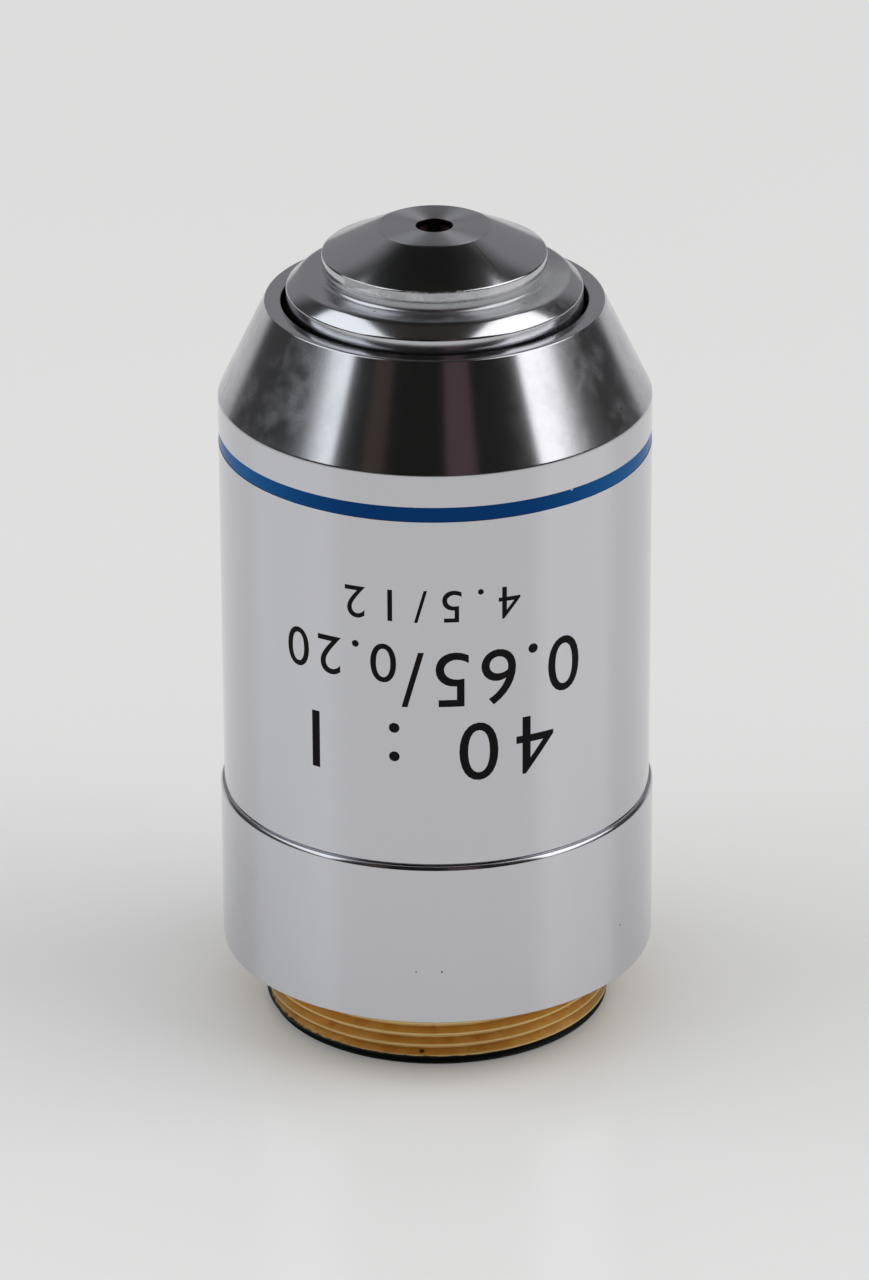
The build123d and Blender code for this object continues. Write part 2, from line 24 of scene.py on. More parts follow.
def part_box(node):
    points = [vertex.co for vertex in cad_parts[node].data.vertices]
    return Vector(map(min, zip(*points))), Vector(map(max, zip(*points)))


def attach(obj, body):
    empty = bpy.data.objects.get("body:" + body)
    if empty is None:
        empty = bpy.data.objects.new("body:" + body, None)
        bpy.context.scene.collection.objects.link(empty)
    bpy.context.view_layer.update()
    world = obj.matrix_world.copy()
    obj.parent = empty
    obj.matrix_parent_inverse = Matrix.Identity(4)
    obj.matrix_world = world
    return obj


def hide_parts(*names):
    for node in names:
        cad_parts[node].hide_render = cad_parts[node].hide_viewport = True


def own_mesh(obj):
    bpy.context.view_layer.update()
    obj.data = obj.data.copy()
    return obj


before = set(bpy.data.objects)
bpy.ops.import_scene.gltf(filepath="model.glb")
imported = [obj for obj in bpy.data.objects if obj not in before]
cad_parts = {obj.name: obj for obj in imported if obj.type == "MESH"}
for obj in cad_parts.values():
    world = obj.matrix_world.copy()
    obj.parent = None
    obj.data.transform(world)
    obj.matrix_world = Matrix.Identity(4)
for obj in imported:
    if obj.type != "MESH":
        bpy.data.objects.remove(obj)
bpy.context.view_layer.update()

LOG = logging.getLogger("objective")
MM = 0.001                     # metres in a millimetre
FULL_TURN = 2 * math.pi
STEPS = 256                    # faces round a turned piece
TRAVEL = 2.0                   # how far the nose slides in, in millimetres
SMOOTH_ANGLE = math.radians(40)

Corner = tuple[float, ...]     # radius, height and, where its edge is broken, by how much
Number = Union["Value", float]
Colour = tuple[float, float, float]
Mark = tuple[float, float, float, float]     # angle in degrees, distance from the axis, height, radius
Shader = NodeSocket


class Body(Enum):
    """The two halves that slide on each other."""

    MOUNT = "mount"
    LENS_UNIT = "lens_unit"


class Slot(Enum):
    """The record's material slots."""

    CHROME = "chrome"
    BRASS = "brass"
    BLACK = "black"
    GLASS = "glass"
    ENAMEL = "enamel"
    STEEL = "steel"


class Ray(Enum):
    """The kinds of ray that see the room in different ways."""

    CAMERA = "Is Camera Ray"
    GLOSSY = "Is Glossy Ray"
    TRANSMISSION = "Is Transmission Ray"


# Shader graphs


class Value:
    """A number on its way through a node graph, with the usual arithmetic."""

    def __init__(self, graph: Graph, socket: NodeSocket) -> None:
        """Wraps an output socket that carries a number."""
        self.graph = graph
        self.socket = socket

    def _math(self, operation: str, *numbers: Number) -> Value:
        """The result of a Math node that takes the numbers in order."""
        node = self.graph.add("ShaderNodeMath", {"operation": operation}, dict(enumerate(numbers)))
        return Value(self.graph, node.outputs[0])

    def __add__(self, other: Number) -> Value:
        """Sum."""
        return self._math("ADD", self, other)

    def __radd__(self, other: Number) -> Value:
        """Sum with a plain number on the left."""
        return self._math("ADD", other, self)

    def __sub__(self, other: Number) -> Value:
        """Difference."""
        return self._math("SUBTRACT", self, other)

    def __rsub__(self, other: Number) -> Value:
        """Difference with a plain number on the left."""
        return self._math("SUBTRACT", other, self)

    def __mul__(self, other: Number) -> Value:
        """Product."""
        return self._math("MULTIPLY", self, other)

    def __rmul__(self, other: Number) -> Value:
        """Product with a plain number on the left."""
        return self._math("MULTIPLY", other, self)

    def __truediv__(self, other: Number) -> Value:
        """Quotient."""
        return self._math("DIVIDE", self, other)

    def __abs__(self) -> Value:
        """Distance from zero."""
        return self._math("ABSOLUTE", self)

    def root(self) -> Value:
        """Square root."""
        return self._math("SQRT", self)

    def arcsine(self) -> Value:
        """The angle whose sine this is."""
        return self._math("ARCSINE", self)

    def angle_to(self, other: Number) -> Value:
        """The angle whose sine is this and whose cosine is the other, up to a common factor."""
        return self._math("ARCTAN2", self, other)

    def least(self, other: Number) -> Value:
        """The smaller of two numbers."""
        return self._math("MINIMUM", self, other)

    def most(self, other: Number) -> Value:
        """The larger of two numbers."""
        return self._math("MAXIMUM", self, other)

    def step(self, start: float, end: float) -> Value:
        """A soft step.

        Args:
            start: Where the step is 0.
            end: Where the step is 1. It may lie below the start.

        Returns:
            A number from 0 to 1.
        """
        node = self.graph.add(
            "ShaderNodeMapRange",
            {"interpolation_type": "SMOOTHSTEP"},
            {"Value": self, "From Min": start, "From Max": end},
        )
        return Value(self.graph, node.outputs[0])

    def within(self, low: float, high: float, soft: float) -> Value:
        """1 from low to high and 0 outside, with edges that fade over a soft width."""
        rise = self.step(low - soft / 2, low + soft / 2)
        return rise * self.step(high + soft / 2, high - soft / 2)


class Graph:
    """The node tree of a material, the world or a lamp."""

    def __init__(self, owner: Any) -> None:
        """Empties the owner's node tree and takes it over.

        Args:
            owner: A material, world or light.
        """
        owner.use_nodes = True
        self.tree = owner.node_tree
        self.tree.nodes.clear()

    def add(
        self, kind: str, settings: dict[str, Any] | None = None, inputs: dict[Any, Any] | None = None
    ) -> Node:
        """Adds a node.

        Args:
            kind: The node's type.
            settings: Its properties.
            inputs: Values or links of its sockets, by name or number.

        Returns:
            The node.
        """
        node = self.tree.nodes.new(kind)
        for name, setting in (settings or {}).items():
            setattr(node, name, setting)
        for key, value in (inputs or {}).items():
            socket = node.inputs[key]
            if isinstance(value, Value):
                value = value.socket
            if isinstance(value, NodeSocket):
                self.tree.links.new(value, socket)
            elif socket.type == "RGBA" and len(value) == 3:
                socket.default_value = (*value, 1.0)
            else:
                socket.default_value = value
        return node

    def place(self) -> Place:
        """Where a point of the surface lies, in millimetres in the objective's frame."""
        coordinates = self.add("ShaderNodeTexCoord")
        scaled = self.add(
            "ShaderNodeVectorMath",
            {"operation": "SCALE"},
            {"Vector": coordinates.outputs["Object"], "Scale": 1 / MM},
        )
        return Place.of(self, scaled.outputs["Vector"])

    def noise(
        self, vector: NodeSocket, scale: float, detail: float = 3.0, roughness: float = 0.5
    ) -> Value:
        """A noise pattern.

        Args:
            vector: The coordinates that it reads.
            scale: Features per unit of the coordinates.
            detail: Octaves.
            roughness: Weight of the finer octaves.

        Returns:
            A number about 0.5, from 0 to 1.
        """
        node = self.add(
            "ShaderNodeTexNoise",
            inputs={"Vector": vector, "Scale": scale, "Detail": detail, "Roughness": roughness},
        )
        return Value(self, node.outputs["Fac"])

    def vector(self, x: Number, y: Number, z: Number) -> NodeSocket:
        """Three numbers as one vector."""
        return self.add("ShaderNodeCombineXYZ", inputs={0: x, 1: y, 2: z}).outputs[0]

    def blend(self, share: Number, first: Any, second: Any) -> NodeSocket:
        """Mixes two colours.

        Args:
            share: How much of the second colour.
            first: A colour or a colour socket.
            second: Another.

        Returns:
            The mixed colour.
        """
        node = self.add(
            "ShaderNodeMix", {"data_type": "RGBA", "clamp_factor": True}, {0: share, 6: first, 7: second}
        )
        return node.outputs[2]

    def mix(self, share: Number, first: Shader, second: Shader) -> Shader:
        """Mixes two shaders by the share of the second."""
        return self.add("ShaderNodeMixShader", inputs={0: share, 1: first, 2: second}).outputs[0]

    def bump(self, height: Value, depth: float) -> NodeSocket:
        """The normal of a relief too fine to model, whose depth is in millimetres."""
        node = self.add("ShaderNodeBump", inputs={"Strength": 1.0, "Distance": depth * MM, "Height": height})
        return node.outputs[0]

    def surface(self, settings: dict[str, Any]) -> Shader:
        """A Principled shader with the given values or links, by socket name."""
        return self.add("ShaderNodeBsdfPrincipled", inputs=settings).outputs[0]

    def finish(self, shader: Shader, kind: str = "ShaderNodeOutputMaterial") -> None:
        """Links the last shader to an output node of the given kind."""
        self.add(kind, inputs={"Surface": shader})


@dataclass
class Place:
    """A point of the surface: across, away from the camera, up, out from the axis and around it."""

    graph: Graph
    vector: NodeSocket
    x: Value
    y: Value
    z: Value
    r: Value
    angle: Value

    @classmethod
    def of(cls, graph: Graph, vector: NodeSocket) -> Place:
        """Takes a vector apart.

        Args:
            graph: The graph that the vector belongs to.
            vector: A position or a direction.

        Returns:
            Its parts. The angle is 0 towards the camera's side, -Y, and grows towards +X.
        """
        parts = graph.add("ShaderNodeSeparateXYZ", inputs={0: vector})
        x, y, z = (Value(graph, parts.outputs[i]) for i in range(3))
        return cls(graph, vector, x, y, z, (x * x + y * y).root(), x.angle_to(0 - y))

    def noise(self, scale: float, detail: float = 3.0, roughness: float = 0.5) -> Value:
        """A noise pattern over the surface, with features per millimetre."""
        return self.graph.noise(self.vector, scale, detail, roughness)

    def rings(self, around: float, along: float, detail: float, roughness: float = 0.5) -> Value:
        """A noise pattern that is drawn out round the axis, as turning lines are.

        Args:
            around: Features round the axis.
            along: Features per millimetre of height and of distance from the axis.
            detail: Octaves.
            roughness: Weight of the finer octaves.

        Returns:
            A number about 0.5, from 0 to 1.
        """
        unrolled = self.graph.vector(
            self.x / self.r * around, self.y / self.r * around, (self.z + self.r) * along
        )
        return self.graph.noise(unrolled, 1.0, detail, roughness)

    def spot(self, angle: float, out: float, up: float, radius: float) -> Value:
        """A small round mark.

        Args:
            angle: Degrees from the camera's side towards +X.
            out: Distance from the axis.
            up: Height.
            radius: The mark's radius.

        Returns:
            1 in the mark and 0 outside it.
        """
        turn = math.radians(angle)
        centre = (out * math.sin(turn), -out * math.cos(turn), up)
        operands = {0: self.vector, 1: centre}
        node = self.graph.add("ShaderNodeVectorMath", {"operation": "DISTANCE"}, operands)
        return Value(self.graph, node.outputs["Value"]).step(radius * 1.3, radius * 0.6)

    def spots(self, marks: Sequence[Mark]) -> Value:
        """Several small round marks as one mask.

        Args:
            marks: What spot takes, for each mark.

        Returns:
            1 in the marks and 0 outside them.
        """
        first, *rest = (self.spot(*mark) for mark in marks)
        for mask in rest:
            first = first.most(mask)
        return first


# Finishes


@dataclass(frozen=True)
class Finish:
    """A surface finish that makes a material of its own."""

    name: str

    def material(self) -> Material:
        """Builds the material."""
        material = bpy.data.materials.new(self.name)
        self.build(Graph(material))
        return material

    def build(self, graph: Graph) -> None:
        """Fills the material's empty node tree."""
        raise NotImplementedError


@dataclass(frozen=True)
class Chrome(Finish):
    """Bright plating on turned brass: a crisp reflection under a thin cloudy film of handling."""

    colour: Colour = (0.6, 0.6, 0.63)
    roughness: float = 0.15
    anisotropy: float = 0.4
    film_roughness: float = 0.4
    film_anisotropy: float = 0.3
    film_floor: float = 0.01
    film_cloud: float = 0.02
    line_depth: float = 0.00003
    marks: tuple[Mark, ...] = ()
    mark_colour: Colour = (0.06, 0.05, 0.045)

    def film(self, place: Place) -> Value:
        """How much of the film's soft shine covers the plating."""
        return self.film_floor + self.cloud(place) * self.film_cloud

    @staticmethod
    def cloud(place: Place) -> Value:
        """Smudges of handling.

        Args:
            place: Where the surface lies.

        Returns:
            A number from 0 to 1.
        """
        wide = place.noise(0.35, 2.0, 0.5)
        fine = place.noise(1.1, 3.0, 0.55)
        return (wide * 0.55 + fine * 0.45).step(0.41, 0.62)

    def bright(self, place: Place) -> Number:
        """The roughness of the crisp reflection."""
        return self.roughness

    def tone(self, place: Place) -> Any:
        """The plating's colour with its marks.

        Args:
            place: Where the surface lies.

        Returns:
            A colour or a colour socket.
        """
        if not self.marks:
            return self.colour
        return place.graph.blend(place.spots(self.marks), self.colour, self.mark_colour)

    def over(self, place: Place, plating: Shader) -> Shader:
        """Whatever lies on the plating."""
        return plating

    def build(self, graph: Graph) -> None:
        """Fills the material's node tree.

        Args:
            graph: The empty tree.
        """
        place = graph.place()
        lines = place.rings(1.5, 14.0, 2.0)
        settings = {
            "Base Color": self.tone(place),
            "Metallic": 1.0,
            "Normal": graph.bump(lines, self.line_depth),
            "Anisotropic Rotation": 0.25,
        }
        crisp = graph.surface(settings | {
            "Roughness": self.bright(place), "Anisotropic": self.anisotropy,
        })
        soft = graph.surface(settings | {
            "Roughness": self.film_roughness, "Anisotropic": self.film_anisotropy,
        })
        plating = graph.mix(self.film(place), crisp, soft)
        graph.finish(self.over(place, plating))


@dataclass(frozen=True)
class SleeveChrome(Chrome):
    """The sleeve's plating, whose cone is smudged by fingers on its flanks."""

    film_floor: float = 0.004
    film_cloud: float = 0.012
    cone_cloud: float = 0.26
    cone_z: float = 38.24

    def film(self, place: Place) -> Value:
        """How much of the film's soft shine covers the plating.

        Args:
            place: Where the surface lies.

        Returns:
            A share from 0 to 1.
        """
        cone = place.z.step(self.cone_z - 0.1, self.cone_z + 0.1)
        flank = abs(place.angle).step(0.3, 0.75)
        smudges = self.cloud(place) * (self.film_cloud + cone * flank * self.cone_cloud)
        return self.film_floor + smudges


@dataclass(frozen=True)
class HeadChrome(Chrome):
    """The head's plating: satin on the flat, crisp on the chamfer, with dried adhesive round the cap and a
    painted sheen to its right.
    """

    film_floor: float = 0.008
    flat_film: float = 0.25
    flat_roughness: float = 0.08
    side_cloud: float = 0.4
    ledge_z: float = 45.51
    line_depth: float = 0.00008
    marks: tuple[Mark, ...] = (
        (46.6, 6.95, 45.5, 0.13), (49.0, 7.15, 45.5, 0.08), (-29.7, 6.8, 45.5, 0.09),
    )
    mark_colour: Colour = (0.3, 0.2, 0.09)

    def flat(self, place: Place) -> Value:
        """1 on the flat round the boss and 0 on the chamfer below it."""
        return place.z.step(self.ledge_z - 0.12, self.ledge_z - 0.02)

    def bright(self, place: Place) -> Number:
        """The roughness of the crisp reflection."""
        return self.roughness + self.flat(place) * self.flat_roughness

    def film(self, place: Place) -> Value:
        """How much of the film's soft shine covers the plating.

        Args:
            place: Where the surface lies.

        Returns:
            A share from 0 to 1.
        """
        side = place.angle.within(0.9, 2.2, 0.4)
        smudges = self.cloud(place) * (self.film_cloud + side * self.side_cloud)
        return self.film_floor + smudges + self.flat(place) * self.flat_film

    def over(self, place: Place, plating: Shader) -> Shader:
        """Whatever lies on the plating."""
        return AdhesiveAndSheen().laid_on(place, plating)


@dataclass(frozen=True)
class CapChrome(Chrome):
    """The nose cap: coarse turning lines on the tip, painted shade in its hole and a painted brown
    reflection streak on its cone.
    """

    film_floor: float = 0.004
    film_cloud: float = 0.01
    tip_film: float = 0.8
    tip_z: float = 48.33
    hole_r: float = 1.05
    # Where the painted brown reflection streak runs down the cone.
    streak_angle: float = 40.2
    brown_streak: tuple[float, float] = (47.1, 48.28)
    streak_reflection_colour: Colour = (0.5, 0.34, 0.24)
    # Dark brown: painted shade in and round the tip hole.
    blackening_and_painted_shade: Colour = (0.05, 0.022, 0.01)
    film_anisotropy: float = 0.9

    def film(self, place: Place) -> Value:
        """How much of the film's soft shine covers the plating."""
        tip = place.z.step(self.tip_z - 0.02, self.tip_z + 0.02)
        return super().film(place) + tip * self.tip_film

    def tone(self, place: Place) -> Any:
        """The plating's colour with its painted reflection streak and the painted shade of the hole.

        Args:
            place: Where the surface lies.

        Returns:
            The colour's socket.
        """
        graph = place.graph
        # Painted reflection: a thin brown streak down the cone, standing in for a brown thing that the
        # chrome reflects.
        off = abs(place.angle - math.radians(self.streak_angle)) * place.r
        low, high = self.brown_streak
        brown_streak = off.step(0.09, 0.02) * place.z.within(low, high, 0.3)
        colour = graph.blend(brown_streak * 0.8, self.colour, self.streak_reflection_colour)
        # Painted shade: dark brown in and round the tip hole, which lies in shade.
        return graph.blend(place.r.step(self.hole_r + 0.05, self.hole_r), colour, self.blackening_and_painted_shade)

    def over(self, place: Place, plating: Shader) -> Shader:
        """Whatever lies on the plating."""
        return AdhesiveAndSheen().laid_on(place, plating)


@dataclass(frozen=True)
class AdhesiveAndSheen:
    """Dried adhesive, whitish and matte, round the front of the nose cap's foot.

    It is a ragged band with an angular flake at its left end and, to its right, a whitish painted sheen
    of the right-hand light. Heights are in millimetres and angles in degrees from the camera's side.
    """

    band: tuple[float, float] = (46.02, 46.78)
    band_angles: tuple[float, float] = (-34.0, 26.0)
    flake: tuple[float, float] = (46.18, 46.84)
    flake_angles: tuple[float, float] = (-52.0, -31.0)
    flake_slope: float = 0.022
    # The painted sheen's heights and angles.
    painted_sheen: tuple[float, float] = (45.42, 46.3)
    painted_sheen_angles: tuple[float, float] = (22.0, 95.0)
    # The adhesive's colour, which the painted sheen shares.
    colour: Colour = (0.34, 0.35, 0.35)

    def laid_on(self, place: Place, plating: Shader) -> Shader:
        """Covers a plating with the adhesive where it lies and with the painted sheen to its right.

        Args:
            place: Where the surface lies.
            plating: The shader under it.

        Returns:
            The covered shader.
        """
        graph = place.graph
        ragged = place.rings(5.0, 1.2, 4.0, 0.65)
        flecks = place.noise(4.5, 3.0, 0.6)
        angle = place.angle * (180 / math.pi)
        around = angle.within(*self.band_angles, 16.0)
        height = place.z + (ragged - 0.5) * 0.7
        band = height.within(*self.band, 0.12) * around
        thick = (ragged * 0.6 + flecks * 0.4).step(0.4, 0.62)
        foot, top = self.flake
        slope = place.z - (angle - self.flake_angles[0]) * self.flake_slope
        flake_around = angle.within(*self.flake_angles, 2.0)
        flake = slope.step(foot, foot + 0.06) * flake_around * place.z.step(top, top - 0.04)
        # Painted sheen: a whitish patch on the right of the boss and the flat, standing in for the
        # right-hand light.
        painted_sheen_around = angle.within(*self.painted_sheen_angles, 26.0)
        painted_sheen = place.z.within(*self.painted_sheen, 0.12) * painted_sheen_around * (0.2 + ragged * 0.5)
        share = (band * (0.3 + thick * 0.6)).most(flake * 0.95).most(painted_sheen).least(1.0)
        crust_and_sheen = graph.surface({
            "Base Color": self.colour,
            "Roughness": 0.38,
            "Specular IOR Level": 0.5,
            "Normal": graph.bump(flecks, 0.02),
        })
        return graph.mix(share, plating, crust_and_sheen)


@dataclass(frozen=True)
class Brass(Finish):
    """Bare turned brass: golden in the grooves, paler on the crests from wear and a painted highlight, black
    at the foot from blackening and painted shade.
    """

    crest_r: float = 10.12
    # Height that the black reaches: above the lead-in chamfer, as painted shade at the foot.
    dark_foot_z: float = 0.64
    golden: Colour = (0.72, 0.45, 0.16)
    pale: Colour = (0.82, 0.56, 0.23)
    rust: Colour = (0.5, 0.2, 0.06)
    # Partly worn brass, partly a painted highlight on the crests.
    worn_and_highlit: Colour = (0.8, 0.6, 0.28)
    hollow: Colour = (0.02, 0.012, 0.006)
    # Dark teal: partly the rear edge's blackening, partly painted shade with a painted teal reflection.
    blackening_and_painted_shade: Colour = (0.004, 0.0062, 0.0055)
    pits: tuple[Mark, ...] = (
        (-5.5, 9.9, 0.86, 0.16), (20.5, 10.0, 1.0, 0.11),
        (34.0, 10.0, 1.75, 0.08), (-32.0, 9.9, 0.95, 0.1),
    )

    def build(self, graph: Graph) -> None:
        """Fills the material's node tree.

        Args:
            graph: The empty tree.
        """
        place = graph.place()
        grime = place.noise(0.8, 4.0, 0.6)
        grain = place.rings(9.0, 2.5, 3.0, 0.6)
        lines = place.rings(1.2, 18.0, 2.0)
        # Painted highlight: the crests are paler, partly from wear and partly standing in for the light that
        # their edges catch.
        crest_highlight = place.r.step(self.crest_r - 0.05, self.crest_r - 0.01)
        plain = graph.blend(grime.step(0.35, 0.68), self.golden, self.pale)
        rusty = graph.blend(grain.step(0.55, 0.75) * 0.6, plain, self.rust)
        colour = graph.blend(crest_highlight * 0.65, rusty, self.worn_and_highlit)
        pitted = graph.blend(place.spots(self.pits) * 0.9, colour, self.hollow)
        # Painted shade: the black reaches up past the lead-in chamfer over the first crest and stands in for
        # the shade where the thread meets the table.
        edge = place.noise(2.2, 4.0, 0.6)
        black = (place.z + (edge - 0.5) * 0.16).step(self.dark_foot_z + 0.04, self.dark_foot_z - 0.04)
        graph.finish(graph.surface({
            "Base Color": graph.blend(black, pitted, self.blackening_and_painted_shade),
            "Specular IOR Level": 0.3,
            "Metallic": 1.0 - black,
            "Roughness": 0.3 + grime * 0.16 + black * 0.1,
            "Anisotropic": 0.5,
            "Anisotropic Rotation": 0.25,
            "Normal": graph.bump(lines, 0.0001),
        }))


@dataclass(frozen=True)
class Enamel(Finish):
    """Blue paint in a groove, paler towards its left and right sides as a painted sheen, with a nick in its
    upper edge.
    """

    colour: Colour = (0.001, 0.034, 0.14)
    # The painted sheen's paler blue.
    flank_sheen_colour: Colour = (0.004, 0.09, 0.26)
    nick: Mark = (38.0, 12.41, 36.3, 0.09)

    def build(self, graph: Graph) -> None:
        """Fills the material's node tree.

        Args:
            graph: The empty tree.
        """
        place = graph.place()
        flow = place.noise(1.3, 3.0)
        # Painted sheen: the blue turns paler away from the camera's side and stands in for the side lights
        # glancing off the paint.
        flank_sheen = abs(place.angle).step(0.3, 1.2) * (0.7 + flow * 0.4)
        blue = graph.blend(flank_sheen, self.colour, self.flank_sheen_colour)
        bare = place.spot(*self.nick)
        graph.finish(graph.surface({
            "Base Color": graph.blend(bare, blue, (0.6, 0.6, 0.63)),
            "Metallic": bare,
            "Roughness": 0.16 + flow * 0.1,
            "Specular IOR Level": 0.04,
            "Normal": graph.bump(flow, 0.002),
        }))


@dataclass(frozen=True)
class Blackened(Finish):
    """Blackened brass, matte, with brass just showing on its edges."""

    def build(self, graph: Graph) -> None:
        """Fills the material's node tree.

        Args:
            graph: The empty tree.
        """
        place = graph.place()
        lines = place.rings(1.0, 10.0, 2.0)
        dust = place.noise(1.7, 4.0, 0.65)
        graph.finish(graph.surface({
            "Base Color": graph.blend(dust.step(0.45, 0.8), (0.014, 0.014, 0.015), (0.035, 0.034, 0.032)),
            "Roughness": 0.42 + dust * 0.2,
            "Normal": graph.bump(lines, 0.0004),
        }))


@dataclass(frozen=True)
class Glass(Finish):
    """Optical glass under a coating that reflects little and faintly purple."""

    index: float = 1.6

    def build(self, graph: Graph) -> None:
        """Fills the material's node tree.

        Args:
            graph: The empty tree.
        """
        place = graph.place()
        dust = place.noise(2.5, 4.0, 0.7).step(0.62, 0.8)
        graph.finish(graph.surface({
            "Base Color": graph.blend(dust, (0.95, 0.97, 0.98), (0.86, 0.88, 0.89)),
            "Roughness": 0.01 + dust * 0.05,
            "IOR": self.index,
            "Transmission Weight": 1.0,
            "Specular IOR Level": 0.1,
            "Specular Tint": (0.75, 0.55, 1.0, 1.0),
        }))


@dataclass(frozen=True)
class Steel(Finish):
    """Bright drawn or turned steel with a trace of oil."""

    def build(self, graph: Graph) -> None:
        """Fills the material's node tree.

        Args:
            graph: The empty tree.
        """
        place = graph.place()
        oil = place.noise(1.1, 4.0, 0.6)
        grain = place.noise(9.0, 2.0)
        graph.finish(graph.surface({
            "Base Color": graph.blend(oil.step(0.4, 0.7), (0.5, 0.5, 0.52), (0.4, 0.39, 0.38)),
            "Metallic": 1.0,
            "Roughness": 0.22 + oil * 0.15,
            "Normal": graph.bump(grain, 0.0003),
        }))


@dataclass(frozen=True)
class Ink(Finish):
    """Black filler in the strokes of the numbers."""

    def build(self, graph: Graph) -> None:
        """Fills the material's node tree.

        Args:
            graph: The empty tree.
        """
        place = graph.place()
        grain = place.noise(6.0, 3.0)
        graph.finish(graph.surface({
            "Base Color": graph.blend(grain.step(0.3, 0.7), (0.004, 0.003, 0.004), (0.008, 0.006, 0.007)),
            "Roughness": 0.45 + grain * 0.2,
            "Specular IOR Level": 0.08,
            "Normal": graph.bump(grain, 0.002),
        }))


@dataclass(frozen=True)
class Tabletop(Finish):
    """A pale glossy table, which nothing below it sees."""

    colour: Colour = (0.735, 0.732, 0.722)

    def build(self, graph: Graph) -> None:
        """Fills the material's node tree.

        Args:
            graph: The empty tree.
        """
        place = graph.place()
        cloud = place.noise(0.012, 2.0)
        top = graph.surface({
            "Base Color": graph.blend(cloud, self.colour, tuple(c * 0.97 for c in self.colour)),
            "Roughness": 0.3,
            "Specular IOR Level": 0.35,
        })
        below = graph.add("ShaderNodeBsdfTransparent").outputs[0]
        back = Value(graph, graph.add("ShaderNodeNewGeometry").outputs["Backfacing"])
        graph.finish(graph.mix(back, top, below))


# Modelling


